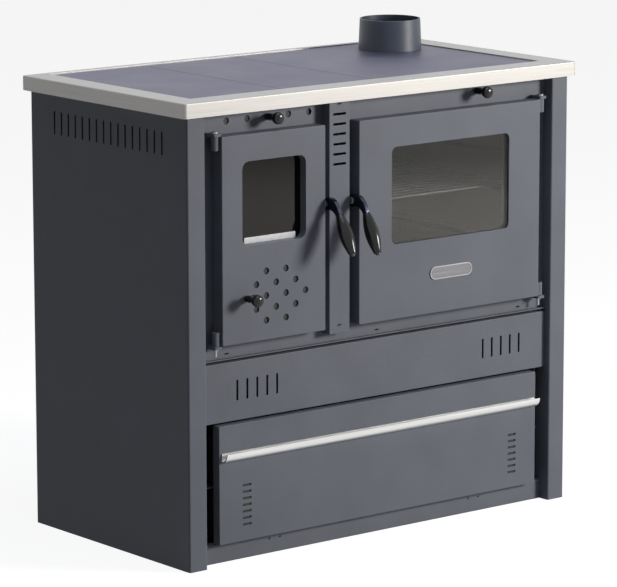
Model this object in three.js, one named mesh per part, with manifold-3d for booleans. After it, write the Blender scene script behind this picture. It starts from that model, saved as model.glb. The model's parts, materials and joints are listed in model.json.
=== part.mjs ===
// A wood-burning range cooker: a firebox behind a glazed door on the left, an oven behind a
// glazed door on the right, a steel hob with a flue collar on top and a wood drawer below.
// Millimetres. +X is to the right of someone facing the cooker, +Y runs to its back, +Z is up.
// The origin is on the floor, under the middle of the cabinet.
import * as THREE from "three";
import { mergeVertices } from "three/addons/utils/BufferGeometryUtils.js";
import Module from "manifold-3d";

const wasm = await Module();
wasm.setup();

// ---------------------------------------------------------------- fits
const SEAT_GAP = 0.3; // between two parts that lie against each other
const PIN_CLEARANCE = 0.35; // around a pin that something turns on
const RUNNING_GAP = 0.6; // between a door and the lugs it turns between

// ---------------------------------------------------------------- cabinet
const BODY_WIDTH = 905; // across the side panels
const BODY_DEPTH = 480; // front of the corner posts to the rear folds
const CABINET_SHEET = 1.5;
const CABINET_BEND = 2.5; // radius of the folds, at the middle of the sheet
const POST_WIDTH = 40; // the front fold of a side panel, seen as a corner post
const POST_RETURN = 37; // how far that fold turns back into the cooker
const REAR_FOLD = 20;
const SIDE_SLOT_COUNT = 16;
const SIDE_SLOT_PITCH = 22;
const SIDE_SLOT_WIDTH = 4.5;
const SIDE_SLOT_HEIGHT = 42;
const SIDE_SLOT_DROP = 32; // from the hob's skirt down to the slots
const TRAY_FLANGE = 25; // upturned edge of the base tray
const BACK_TOP_FOLD = 15;

// ---------------------------------------------------------------- heights of the front, from the floor up
const PLINTH_HEIGHT = 38;
const DRAWER_CLEARANCE = 0.5; // plinth to drawer front
const DRAWER_HEIGHT = 219;
const BAND_CLEARANCE = 4.5; // drawer front to vented band
const BAND_HEIGHT = 109;
const PLATE_CLEARANCE = 5; // band to front plate
const DOOR_SILL = 30.5; // front plate showing under the doors
const DOOR_DROP = 39; // front plate showing over the doors
const STRIP_SILL = 19; // front plate showing under the middle strip

// ---------------------------------------------------------------- widths of the front, from the left post to the right one
const FIRE_HINGE_ROOM = 31;
const FIRE_DOOR_WIDTH = 236;
const FIRE_LATCH_ROOM = 15;
const STRIP_WIDTH = 47.5;
const OVEN_LATCH_ROOM = 16.5;
const OVEN_HINGE_ROOM = 36.5;

// ---------------------------------------------------------------- depths of the front, from the face of the posts
const PLATE_RECESS = 21.7;
const BAND_RECESS = 13;
const DRAWER_RECESS = 4.5;
const DOOR_PROUD = 7.5;

// ---------------------------------------------------------------- hob
const HOB_TOP = 850;
const HOB_OVERHANG = 12.5; // past each side panel
const HOB_OVERHANG_DEPTH = 10; // past the posts in front and the folds behind
const HOB_WIDTH = BODY_WIDTH + 2 * HOB_OVERHANG;
const HOB_DEPTH = BODY_DEPTH + 2 * HOB_OVERHANG_DEPTH;
const HOB_SKIRT = 27;
const HOB_SHEET = 2;
const HOB_EDGE = 2; // rounding of the top edge
const HOB_CORNER = 6; // rounding of the upright corners
const HOB_RIM = 50; // front, left and right
const HOB_REAR_RIM = 16;
const HOB_SIDE_LIP = 17; // turned in under the skirt
const HOB_FRONT_LIP = 33.5;
const HOB_REAR_LIP = 15;
const HOB_PLATE_DROP = 2; // cooking plates under the rim
const HOB_PLATE_THICKNESS = 10;
const HOB_PLATE_GAP = 2.5; // around the cooking plates
const HOB_SEAM = 1.4; // between two cooking plates
const LEFT_SEAM_IN = 252.5; // from the left side panel
const RIGHT_SEAM_IN = 464.5;
const LEFT_SEAM_X = -BODY_WIDTH / 2 + LEFT_SEAM_IN;
const RIGHT_SEAM_X = -BODY_WIDTH / 2 + RIGHT_SEAM_IN;
const UNDERFRAME_THICKNESS = 4;
const UNDERFRAME_BAR = 30; // cross bar under a seam
const UNDERFRAME_OVERLAP = 5; // past the rim's inner edge
const UNDERFRAME_SIDE = 57.5; // side panel to its opening
const UNDERFRAME_INNER = BODY_WIDTH / 2 - UNDERFRAME_SIDE;
const UNDERFRAME_FRONT = 31; // breadth of its front bar
const UNDERFRAME_BACK = 31;

// ---------------------------------------------------------------- flue
const COLLAR_FROM_SIDE = 125.5; // its middle from the right side panel
const COLLAR_FROM_BACK = 104;
const COLLAR_X = BODY_WIDTH / 2 - COLLAR_FROM_SIDE;
const COLLAR_Y = BODY_DEPTH / 2 - COLLAR_FROM_BACK;
const COLLAR_HEIGHT = 58; // over the hob
const COLLAR_TOP = HOB_TOP + COLLAR_HEIGHT;
const COLLAR_BASE_RADIUS = 61.75;
const COLLAR_TOP_RADIUS = 59.25;
const COLLAR_WALL = 3;
const COLLAR_SPIGOT_RADIUS = 55.5; // part let into the cooking plate
const DAMPER_FROM_SIDE = 212.5;
const DAMPER_X = BODY_WIDTH / 2 - DAMPER_FROM_SIDE;
const DAMPER_DROP = 13; // from the hob's skirt down to the damper rod
const DAMPER_ROD_RADIUS = 4;
const DAMPER_PLATE_WIDTH = 146;
const DAMPER_PLATE_HEIGHT = 60;
const DAMPER_PLATE_SHEET = 3;
const DAMPER_LAP = 8; // valve plate past the opening it shuts
const DIVIDER_SHEET = 3;
const DIVIDER_FRONT_IN = 174; // from the cooker's back
const DIVIDER_REAR_IN = 68;
const DIVIDER_SIDE_IN = 287.5; // from the right side panel
const DIVIDER_FRONT_Y = BODY_DEPTH / 2 - DIVIDER_FRONT_IN;
const DIVIDER_REAR_Y = BODY_DEPTH / 2 - DIVIDER_REAR_IN;
const DIVIDER_SIDE_X = BODY_WIDTH / 2 - DIVIDER_SIDE_IN;

// ---------------------------------------------------------------- doors
const DOOR_DEPTH = 28;
const DOOR_SHEET = 2.5;
const DOOR_EDGE = 1.8; // rounding round the face
const DOOR_CORNER = 3;
const DOOR_LAP = 23.5; // door past the opening it shuts, at the sides
const OPENING_SILL = 24; // door past the opening, below
const OPENING_HEAD = 20; // and above
const SEAL_INSET = 8;
const SEAL_WIDTH = 9;
const LINER_SHEET = 2.5;
const LINER_SETBACK = 4.7; // liner from the door's open back
const GLASS_THICKNESS = 4;
const GLASS_LAP = 12; // glass past the window
const KNUCKLE_RADIUS = 7;
const KNUCKLE_HEIGHT = 25;
const PIN_RADIUS = 4;
const PIN_HEAD_RADIUS = 6;
const PIN_HEAD_HEIGHT = 3.2;
const PIN_TAIL_RADIUS = 2.2;
const PIN_TAIL = 12;
const LUG_THICKNESS = 5;
const LUG_HALF_WIDTH = 9;
const LUG_REACH = 26.2; // from the front plate
const HINGE_SETBACK = 4.5; // hinge axis behind the face of the posts... towards the plate
const FIRE_AXIS_OUT = 6.5; // hinge axis outside the door's edge
const OVEN_AXIS_OUT = 10.5;

const FIRE_WINDOW_INSET = 45.5; // from the hinged edge
const FIRE_WINDOW_WIDTH = 145;
const FIRE_WINDOW_SILL = 176.5; // from the door's bottom
const FIRE_WINDOW_HEIGHT = 152;
const FIRE_WINDOW_CORNER = 14;
const FIRE_WINDOW_DEPTH = 16.5; // glass behind the face
const GLASS_LEDGE_HEIGHT = 11.5;
const GLASS_LEDGE_THICKNESS = 3;

const OVEN_WINDOW_INSET = 77.2; // from the latched edge
const OVEN_WINDOW_WIDTH = 288;
const OVEN_WINDOW_SILL = 140.2;
const OVEN_WINDOW_HEIGHT = 181.8;
const OVEN_WINDOW_CORNER = 11;
const BADGE_WIDTH = 102;
const BADGE_HEIGHT = 24;
const BADGE_THICKNESS = 1.2;
const BADGE_RIM = 1.4;
const BADGE_RIM_HEIGHT = 0.6;
const BADGE_RISE = 75.5; // its middle over the door's bottom

// ---------------------------------------------------------------- air controls
const AIR_PITCH = 22.5; // half the spacing of the lattice of air holes, and the slide's stroke
const AIR_HOLE_RADIUS = 6.5;
const AIR_CENTRE_INSET = 121.5; // middle of the lattice from the hinged edge
const AIR_CENTRE_RISE = 81; // and from the door's bottom
const AIR_SLIDE_SHEET = 2;
const AIR_SLIDE_LEFT = 104; // from the middle of the lattice to the slide's left end
const AIR_SLIDE_RIGHT = 80;
const AIR_SLIDE_HALF_HEIGHT = 59.5;
const SLIDE_GUIDE = 3; // breadth of the guides a slide runs in
const SLIDE_GUIDE_HOLD = 6.5; // how far a guide reaches over the slide
const TOP_AIR_PITCH = 47;
const TOP_AIR_CENTRE_INSET = 126.5; // from the fire door's hinged edge
const TOP_AIR_DROP = 16.5; // from the hob's skirt
const TOP_AIR_STROKE = 23;
const TOP_AIR_SHEET = 1.5;
const TOP_AIR_HALF_HEIGHT = 10.5;
const KNOB_LENGTH = 40;
const KNOB_RADIUS = 11;
const KNOB_STEM_RADIUS = 3.5;
const STEM_SLOT_RADIUS = 4.5;

// ---------------------------------------------------------------- latches
const LATCH_OFFSET = 7.5; // middle of the lever outside the door's edge
const LATCH_THICKNESS = 8;
const LATCH_HUB_RADIUS = 12;
const LATCH_RISE = 231.5; // hub over the door's bottom
const LATCH_SETBACK = 2; // hub behind the face of the posts
const LATCH_Y = -BODY_DEPTH / 2 + LATCH_SETBACK;
const LATCH_PIN_RADIUS = 4;
const LATCH_NOSE = 17; // tail of the lever behind the hub
const LATCH_NOSE_HALF = 5;
const KEEPER_RADIUS = 3.5;
const KEEPER_BACK = 14; // keeper behind the hub
const KEEPER_RISE = 8.8; // and over it
const KEEPER_REACH = 10.5;
const GRIP_LENGTH = 78;
const GRIP_TILT = 29.8; // degrees from upright
const GRIP_END_RADIUS = 6.5;
const GRIP_MIDDLE_RADIUS = 13.1;
const GRIP_TANG_RADIUS = 3;
const GRIP_FORWARD = 39.4; // top of the grip before the hub
const GRIP_DROP = 15.5; // and below it
const GRIP_SEAT = 5.55; // half the breadth of the arm's end
const OVEN_ARM_DROOP = 4.5; // degrees the oven's arm hangs lower

// ---------------------------------------------------------------- middle strip and front plate
const STRIP_SHEET = 1.5;
const STRIP_SLOT_COUNT = 6;
const STRIP_SLOT_PITCH = 18.3;
const STRIP_SLOT_WIDTH = 29.4;
const STRIP_SLOT_HEIGHT = 4.5;
const STRIP_SLOT_DROP = 23.2; // from the hob's skirt to the first slot
const PLATE_SHEET = 2;
const PLATE_LIP = 9;
const PLATE_END_FOLD = 8;

// ---------------------------------------------------------------- vented band
const BAND_FOLD = 17;
const BAND_SLOT_COUNT = 5;
const BAND_SLOT_PITCH = 22.8;
const BAND_SLOT_WIDTH = 4.5;
const BAND_SLOT_HEIGHT = 37.3;
const BAND_SLOT_RISE = 37;
const BAND_LEFT_SLOT_IN = 119.1; // first slot of each group from the side panel
const BAND_RIGHT_SLOT_IN = 198.5;
const BAND_LEFT_SLOT_X = -BODY_WIDTH / 2 + BAND_LEFT_SLOT_IN;
const BAND_RIGHT_SLOT_X = BODY_WIDTH / 2 - BAND_RIGHT_SLOT_IN;

// ---------------------------------------------------------------- drawer
const DRAWER_SIDE_ROOM = 30.75; // drawer front to post
const DRAWER_FRONT_WIDTH = BODY_WIDTH - 2 * (POST_WIDTH + DRAWER_SIDE_ROOM);
const DRAWER_FRONT_DEPTH = 18;
const DRAWER_FRONT_SHEET = 1.5;
const DRAWER_SLOT_COUNT = 7;
const DRAWER_SLOT_PITCH = 12.15;
const DRAWER_SLOT_WIDTH = 19.8;
const DRAWER_SLOT_HEIGHT = 4.5;
const DRAWER_SLOT_RISE = 30.8; // lowest slot over the drawer front's bottom
const DRAWER_LEFT_SLOT_IN = 133.7; // middle of the slots from the side panel
const DRAWER_RIGHT_SLOT_IN = 130.8;
const DRAWER_LEFT_SLOT_X = -BODY_WIDTH / 2 + DRAWER_LEFT_SLOT_IN;
const DRAWER_RIGHT_SLOT_X = BODY_WIDTH / 2 - DRAWER_RIGHT_SLOT_IN;
const DRAWER_BOX_SIDE_ROOM = 82.5; // drawer box to the side panel's face
const DRAWER_BOX_HALF = BODY_WIDTH / 2 - DRAWER_BOX_SIDE_ROOM;
const DRAWER_BOX_SHEET = 1.5;
const DRAWER_BOX_RISE = 7; // box bottom over the plinth
const DRAWER_BOX_HEIGHT = 180;
const DRAWER_BOX_BACK_ROOM = 50;
const DRAWER_BOX_BACK = BODY_DEPTH / 2 - DRAWER_BOX_BACK_ROOM;
const RAIL_END_ROOM = 4.75; // drawer front past the rail
const RAIL_HALF_LENGTH = DRAWER_FRONT_WIDTH / 2 - RAIL_END_ROOM;
const RAIL_RISE = 152.2; // its underside over the drawer front's bottom
const RAIL_PROUD = 18.2;
const RAIL_HEIGHT = 18.3;
const RAIL_FLANGE = 16.8;
const RAIL_SHEET = 2;
const RUNNER_Z = 140;
const RUNNER_SHEET = 1.5;
const RUNNER_REACH = 14.7;
const RUNNER_SLIDE_HEIGHT = 3;
const RUNNER_SETBACK = 40; // from the cooker's front and back
const RUNNER_FRONT_Y = -BODY_DEPTH / 2 + RUNNER_SETBACK;
const RUNNER_BACK_Y = BODY_DEPTH / 2 - RUNNER_SETBACK;

// ---------------------------------------------------------------- inner shell, firebox and oven
const SHELL_SHEET = 3;
const SHELL_SIDE_ROOM = 6.5; // from the line of the posts' inner edges
const SHELL_REAR_ROOM = 25;
const SHELL_FLOOR_RISE = 10; // over the front plate's bottom
const CEILING_SHEET = 1.5;
const CEILING_FLANGE = 15;
const FIREBRICK = 30;
const FIREBRICK_HEIGHT = 229.7;
const FIREBOX_ROOM = 17; // opening to the right-hand firebrick
const FIREBOX_SHEET = 3;
const PIT_FLOOR_RISE = 1; // over the opening's sill
const GRATE_SHELF_RISE = 87.5;
const GRATE_WIDTH = 210;
const GRATE_SHORTER = 160; // than the cooker is deep
const GRATE_LENGTH = BODY_DEPTH - GRATE_SHORTER;
const GRATE_THICKNESS = 12;
const GRATE_SHELF_LAP = 10;
const GRATE_SLOT_COUNT = 9;
const GRATE_SLOT_WIDTH = 9;
const GRATE_MIDDLE_Y = -20;
const LOG_GUARD_HEIGHT = 57;
const LOG_GUARD_SHEET = 3;
const ASH_PAN_SHEET = 1.5;
const ASH_PAN_HEIGHT = 60;
const ASH_PAN_SHORTER = 130; // than the cooker is deep
const ASH_PAN_LENGTH = BODY_DEPTH - ASH_PAN_SHORTER;
const ASH_PAN_SIDE_ROOM = 2.5;
const OVEN_SHEET = 2;
const OVEN_BACK_IN = 72; // from the cooker's back
const OVEN_BACK_Y = BODY_DEPTH / 2 - OVEN_BACK_IN;
const OVEN_FLANGE = 15;
const OVEN_LEDGE = 8;
const OVEN_LEDGE_HEIGHTS = [89.5, 189.5, 259.5]; // over the oven's floor
const OVEN_LEDGE_THICKNESS = 3;
const RACK_LEVEL = 1; // which ledge holds the rack
const RACK_WIRE_RADIUS = 2.7;
const RACK_CROSS_RADIUS = 2.2;
const RACK_SIDE_ROOM = 2;
const RACK_FRONT_IN = 40;
const RACK_BACK_IN = 90;
const RACK_FRONT_Y = -BODY_DEPTH / 2 + RACK_FRONT_IN;
const RACK_BACK_Y = BODY_DEPTH / 2 - RACK_BACK_IN;
const RACK_CROSS_COUNT = 15;

// ---------------------------------------------------------------- fineness of curves
const BEND_STEPS = 3;
const CORNER_STEPS = 3;
const HOLE_SIDES = 12;
const PIN_SIDES = 16;
const KNOB_SIDES = 16;
const COLLAR_SIDES = 40;

// ================================================================ places that follow from the sizes
const halfWidth = BODY_WIDTH / 2;
const frontY = -BODY_DEPTH / 2;
const backY = BODY_DEPTH / 2;
const postInner = halfWidth - POST_WIDTH;
const fillHalf = postInner - SEAT_GAP; // half the width of what stands between the posts
const skirtZ = HOB_TOP - HOB_SKIRT;
const cabinetTop = skirtZ - SEAT_GAP;

const drawerZ = PLINTH_HEIGHT + DRAWER_CLEARANCE;
const bandZ = drawerZ + DRAWER_HEIGHT + BAND_CLEARANCE;
const plateZ = bandZ + BAND_HEIGHT + PLATE_CLEARANCE;
const doorZ = plateZ + DOOR_SILL;
const doorTop = skirtZ - DOOR_DROP;

const plateY = frontY + PLATE_RECESS;
const plateBack = plateY + PLATE_SHEET;
const behindPlate = plateBack + SEAT_GAP;
const bandY = frontY + BAND_RECESS;
const drawerY = frontY + DRAWER_RECESS;
const doorY = frontY - DOOR_PROUD;
const doorBack = doorY + DOOR_DEPTH;
const hingeY = frontY + HINGE_SETBACK;

const fireX0 = -postInner + FIRE_HINGE_ROOM;
const fireX1 = fireX0 + FIRE_DOOR_WIDTH;
const stripX0 = fireX1 + FIRE_LATCH_ROOM;
const stripX1 = stripX0 + STRIP_WIDTH;
const ovenX0 = stripX1 + OVEN_LATCH_ROOM;
const ovenX1 = postInner - OVEN_HINGE_ROOM;

const openingZ0 = doorZ + OPENING_SILL;
const openingZ1 = doorTop - OPENING_HEAD;
const fireOpening = [fireX0 + DOOR_LAP, fireX1 - DOOR_LAP];
const ovenOpening = [ovenX0 + DOOR_LAP, ovenX1 - DOOR_LAP];

const shellInner = postInner - SHELL_SIDE_ROOM - SHELL_SHEET;
const shellOuter = shellInner + SHELL_SHEET;
const shellRear = backY - SHELL_REAR_ROOM;
const shellRearInner = shellRear - SHELL_SHEET;
const shellFloor = plateZ + SHELL_FLOOR_RISE;
const hobPlateTop = HOB_TOP - HOB_PLATE_DROP;
const hobPlateZ = hobPlateTop - HOB_PLATE_THICKNESS;
const underframeTop = hobPlateZ - SEAT_GAP;
const underframeZ = underframeTop - UNDERFRAME_THICKNESS;
const shellTop = underframeZ - SEAT_GAP;

const rimHalf = HOB_WIDTH / 2 - HOB_RIM;
const rimFront = -HOB_DEPTH / 2 + HOB_RIM;
const rimBack = HOB_DEPTH / 2 - HOB_REAR_RIM;

// ================================================================ making solids
const radians = THREE.MathUtils.degToRad;

// A closed geometry as a solid that can be joined and cut.
function solid(geometry) {
  const plain = geometry.index ? geometry.toNonIndexed() : geometry.clone();
  plain.deleteAttribute("normal");
  plain.deleteAttribute("uv");
  const merged = mergeVertices(plain, 1e-4);
  const index = merged.index.array;
  const faces = [];
  for (let i = 0; i < index.length; i += 3) {
    const [a, b, c] = [index[i], index[i + 1], index[i + 2]];
    if (a !== b && b !== c && c !== a) faces.push([a, b, c]);
  }
  const make = (list) =>
    new wasm.Manifold(
      new wasm.Mesh({
        numProp: 3,
        vertProperties: merged.attributes.position.array,
        triVerts: new Uint32Array(list.flat()),
      }),
    );
  const made = make(faces);
  return made.volume() < 0 ? make(faces.map(([a, b, c]) => [a, c, b])) : made;
}

const join = (first, ...rest) => rest.reduce((whole, next) => whole.add(next), first);
const cut = (first, ...rest) => rest.reduce((whole, next) => whole.subtract(next), first);

function geometryOf(body) {
  const mesh = body.getMesh();
  const position = new Float32Array(mesh.numVert * 3);
  for (let i = 0; i < mesh.numVert; i++)
    position.set(
      mesh.vertProperties.subarray(i * mesh.numProp, i * mesh.numProp + 3),
      i * 3,
    );
  const geometry = new THREE.BufferGeometry()
    .setAttribute("position", new THREE.BufferAttribute(position, 3))
    .setIndex(new THREE.BufferAttribute(new Uint32Array(mesh.triVerts), 1))
    .toNonIndexed();
  geometry.computeVertexNormals();
  return geometry;
}

// ---- outlines
function outline(points) {
  const kept = points.filter(([a, b], i) => {
    const [c, d] = points[(i + points.length - 1) % points.length];
    return Math.hypot(a - c, b - d) > 1e-6;
  });
  return new THREE.Shape(kept.map(([a, b]) => new THREE.Vector2(a, b)));
}

function roundedRect(a0, a1, b0, b1, radius, steps = CORNER_STEPS) {
  const corners = [
    [a1 - radius, b0 + radius, -90],
    [a1 - radius, b1 - radius, 0],
    [a0 + radius, b1 - radius, 90],
    [a0 + radius, b0 + radius, 180],
  ];
  return outline(
    corners.flatMap(([a, b, from]) =>
      Array.from({ length: steps + 1 }, (_, k) => {
        const angle = radians(from + (90 * k) / steps);
        return [a + radius * Math.cos(angle), b + radius * Math.sin(angle)];
      }),
    ),
  );
}

const rect = (a0, a1, b0, b1) =>
  outline([
    [a0, b0],
    [a1, b0],
    [a1, b1],
    [a0, b1],
  ]);

const circle = (a, b, radius, sides = HOLE_SIDES) =>
  outline(
    Array.from({ length: sides }, (_, k) => {
      const angle = (2 * Math.PI * k) / sides;
      return [a + radius * Math.cos(angle), b + radius * Math.sin(angle)];
    }),
  );

// A slot between two centres on one line, with round ends.
const slot = (a0, a1, b, radius) =>
  roundedRect(a0 - radius, a1 + radius, b - radius, b + radius, radius, 5);

// The section of a sheet folded along a line: the line is the middle of the sheet.
function folded(line, sheet, bend = CABINET_BEND) {
  const left = [];
  const right = [];
  const put = (x, y, dx, dy) => {
    left.push([x - (dy * sheet) / 2, y + (dx * sheet) / 2]);
    right.push([x + (dy * sheet) / 2, y - (dx * sheet) / 2]);
  };
  const towards = ([ax, ay], [bx, by]) => {
    const length = Math.hypot(bx - ax, by - ay);
    return [(bx - ax) / length, (by - ay) / length];
  };
  line.forEach(([x, y], i) => {
    const before = i > 0 && towards(line[i - 1], line[i]);
    const after = i < line.length - 1 && towards(line[i], line[i + 1]);
    if (!before) return put(x, y, ...after);
    if (!after) return put(x, y, ...before);
    const turn = Math.atan2(
      before[0] * after[1] - before[1] * after[0],
      before[0] * after[0] + before[1] * after[1],
    );
    const reach = bend * Math.tan(Math.abs(turn) / 2);
    const side = Math.sign(turn) * bend;
    const cx = x - before[0] * reach - before[1] * side;
    const cy = y - before[1] * reach + before[0] * side;
    for (let k = 0; k <= BEND_STEPS; k++) {
      const c = Math.cos((turn * k) / BEND_STEPS);
      const s = Math.sin((turn * k) / BEND_STEPS);
      const dx = before[0] * c - before[1] * s;
      const dy = before[0] * s + before[1] * c;
      put(cx + dy * side, cy - dx * side, dx, dy);
    }
  });
  return outline([...left, ...right.reverse()]);
}

// ---- an outline drawn out along one axis, with its holes cut right through
function drawn(shapes, depth, place) {
  const extrude = (list, from, to) =>
    solid(
      place(
        new THREE.ExtrudeGeometry(
          list.map((one) => new THREE.Shape(one.getPoints())),
          { depth: to - from, bevelEnabled: false },
        ).translate(0, 0, from),
      ),
    );
  const list = [shapes].flat();
  const holes = list.flatMap((one) => one.holes);
  const whole = extrude(list, 0, depth);
  return holes.length ? cut(whole, extrude(holes, -1, depth + 1)) : whole;
}
// plan outline (x, y), drawn up
const planPiece = (shapes, z0, z1) =>
  drawn(shapes, z1 - z0, (g) => g.translate(0, 0, z0));
// front outline (x, z), drawn backwards
const frontPiece = (shapes, y0, y1) =>
  drawn(shapes, y1 - y0, (g) => g.rotateX(Math.PI / 2).translate(0, y1, 0));
// side outline (y, z), drawn to the right
const sidePiece = (shapes, x0, x1) =>
  drawn(shapes, x1 - x0, (g) =>
    g
      .rotateX(Math.PI / 2)
      .rotateZ(Math.PI / 2)
      .translate(x0, 0, 0),
  );
const block = (x0, x1, y0, y1, z0, z1) =>
  solid(
    new THREE.BoxGeometry(x1 - x0, y1 - y0, z1 - z0).translate(
      (x0 + x1) / 2,
      (y0 + y1) / 2,
      (z0 + z1) / 2,
    ),
  );

// ---- a profile of [radius, height] points turned round an axis
const turned = (profile, sides) =>
  new THREE.LatheGeometry(
    profile.map(([radius, height]) => new THREE.Vector2(radius, height)),
    sides,
  );
const upright = (profile, x, y, sides = PIN_SIDES) =>
  solid(turned(profile, sides).rotateX(Math.PI / 2).translate(x, y, 0));
const crosswise = (profile, direction, x, y, z, sides = PIN_SIDES) =>
  solid(
    turned(profile, sides)
      .rotateZ((-direction * Math.PI) / 2)
      .translate(x, y, z),
  );

// A tray-shaped panel with a softened face, open at the back.
function panel(x0, x1, z0, z1, yFront, yBack, sheet, edge, corner = edge + 0.8) {
  const face = solid(
    new THREE.ExtrudeGeometry(roundedRect(x0, x1, z0, z1, corner, 3), {
      depth: yBack - yFront,
      bevelEnabled: true,
      bevelThickness: edge,
      bevelSize: edge,
      bevelOffset: -edge,
      bevelSegments: 2,
    })
      .rotateX(Math.PI / 2)
      .translate(0, yBack + edge, 0),
  );
  return cut(
    face,
    block(x0 - 5, x1 + 5, yBack, yBack + 5 * edge + 5, z0 - 5, z1 + 5),
    block(
      x0 + sheet,
      x1 - sheet,
      yFront + sheet,
      yBack + 1,
      z0 + sheet,
      z1 - sheet,
    ),
  );
}

// ================================================================ finishes
const finish = (color, roughness, metalness, more = {}) =>
  new THREE.MeshStandardMaterial({ color, roughness, metalness, ...more });
const PAINT = finish("#73767b", 0.6, 0.15);
const STAINLESS = finish("#d4d5d6", 0.28, 0.95);
const HOB_STEEL = finish("#6f6e7c", 0.42, 0.8);
const IRON = finish("#34363b", 0.75, 0.4);
const FLUE_PAINT = finish("#2c3138", 0.7, 0.2);
const ZINC = finish("#a9adb3", 0.4, 0.85);
const POLISHED = finish("#3c4048", 0.2, 0.9);
const BLACK_GLOSS = finish("#101014", 0.18, 0);
const GLASS = finish("#201c1c", 0.06, 0, { transparent: true, opacity: 0.6 });
const ROPE = finish("#3b3936", 0.95, 0);
const FIRECLAY = finish("#c8b088", 0.95, 0);
const RAIL_METAL = finish("#e2e3e4", 0.3, 0.95);
const ENAMEL = finish("#2a2b30", 0.3, 0.1);

const cooker = new THREE.Group();
cooker.name = "range_cooker";
const cabinet = new THREE.Group();
const hob = new THREE.Group();
const firebox = new THREE.Group();
const oven = new THREE.Group();
const flue = new THREE.Group();
const fireDoor = new THREE.Group();
const ovenDoor = new THREE.Group();
const drawer = new THREE.Group();
cooker.add(cabinet, hob, firebox, oven, flue, fireDoor, ovenDoor, drawer);

function addPart(group, name, shape, material, position = [0, 0, 0], tilt = 0) {
  const mesh = new THREE.Mesh(
    shape.isBufferGeometry ? shape : geometryOf(shape),
    material,
  );
  mesh.name = name;
  mesh.position.set(...position);
  mesh.rotation.x = tilt;
  group.add(mesh);
}

// ================================================================ cabinet
const sideSlots = Array.from({ length: SIDE_SLOT_COUNT }, (_, k) => {
  const y = (k - (SIDE_SLOT_COUNT - 1) / 2) * SIDE_SLOT_PITCH - 1;
  const top = skirtZ - SIDE_SLOT_DROP;
  return rect(
    y - SIDE_SLOT_WIDTH / 2,
    y + SIDE_SLOT_WIDTH / 2,
    top - SIDE_SLOT_HEIGHT,
    top,
  );
});
const half = CABINET_SHEET / 2;
for (const [side, name] of [
  [-1, "side_panel_left"],
  [1, "side_panel_right"],
]) {
  const line = [
    [halfWidth - REAR_FOLD, backY - half],
    [halfWidth - half, backY - half],
    [halfWidth - half, frontY + half],
    [postInner + half, frontY + half],
    [postInner + half, frontY + POST_RETURN],
  ].map(([x, y]) => [side * x, y]);
  const wall = planPiece(folded(line, CABINET_SHEET), 0, cabinetTop);
  const slots = sidePiece(
    sideSlots,
    side * halfWidth - 5,
    side * halfWidth + 5,
  );
  addPart(cabinet, name, cut(wall, slots), PAINT);
}

const insideHalf = halfWidth - CABINET_SHEET - SEAT_GAP;
const backPanelY = backY - CABINET_SHEET - SEAT_GAP; // its rear face
addPart(
  cabinet,
  "back_panel",
  sidePiece(
    folded(
      [
        [backPanelY - BACK_TOP_FOLD, cabinetTop - half],
        [backPanelY - half, cabinetTop - half],
        [backPanelY - half, 0],
      ],
      CABINET_SHEET,
    ),
    -halfWidth + CABINET_SHEET + CABINET_BEND,
    halfWidth - CABINET_SHEET - CABINET_BEND,
  ),
  PAINT,
);

const trayFront = frontY + POST_RETURN + SEAT_GAP;
const trayBack = backPanelY - CABINET_SHEET - SEAT_GAP;
addPart(
  cabinet,
  "base_tray",
  cut(
    block(-insideHalf, insideHalf, trayFront, trayBack, 0, TRAY_FLANGE),
    block(
      -insideHalf + CABINET_SHEET,
      insideHalf - CABINET_SHEET,
      trayFront + CABINET_SHEET,
      trayBack - CABINET_SHEET,
      CABINET_SHEET,
      TRAY_FLANGE + 1,
    ),
  ),
  PAINT,
);

addPart(
  cabinet,
  "plinth",
  sidePiece(
    folded(
      [
        [trayFront - SEAT_GAP * 2, half],
        [plateY + half, half],
        [plateY + half, PLINTH_HEIGHT - half],
        [plateY + half + 12, PLINTH_HEIGHT - half],
      ],
      CABINET_SHEET,
    ),
    -fillHalf,
    fillHalf,
  ),
  PAINT,
);

// The welded inner shell that holds the firebox and the oven and carries the hob.
const shellFoot = CABINET_SHEET + SEAT_GAP;
const shellFront = trayFront + CABINET_SHEET + SEAT_GAP;
const shellWall = outline([
  [shellFront, shellFoot],
  [shellRear, shellFoot],
  [shellRear, shellTop],
  [behindPlate, shellTop],
  [behindPlate, plateZ + 2],
  [shellFront, plateZ + 2],
]);
addPart(
  cabinet,
  "stove_body",
  join(
    sidePiece(shellWall, -shellOuter, -shellInner),
    sidePiece(shellWall, shellInner, shellOuter),
    block(
      -shellInner - 1,
      shellInner + 1,
      shellRearInner,
      shellRear,
      shellFloor,
      shellTop,
    ),
    block(
      -shellInner - 1,
      shellInner + 1,
      behindPlate,
      shellRearInner + 1,
      shellFloor,
      shellFloor + SHELL_SHEET,
    ),
  ),
  IRON,
);

const ceilingHalf = shellInner - SEAT_GAP - CEILING_SHEET / 2;
const ceilingZ = bandZ + CABINET_SHEET + SEAT_GAP + CEILING_SHEET / 2;
addPart(
  cabinet,
  "compartment_ceiling",
  frontPiece(
    folded(
      [
        [-ceilingHalf, ceilingZ - CEILING_FLANGE],
        [-ceilingHalf, ceilingZ],
        [ceilingHalf, ceilingZ],
        [ceilingHalf, ceilingZ - CEILING_FLANGE],
      ],
      CEILING_SHEET,
    ),
    bandY + BAND_FOLD + SEAT_GAP,
    trayBack,
  ),
  ZINC,
);

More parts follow.
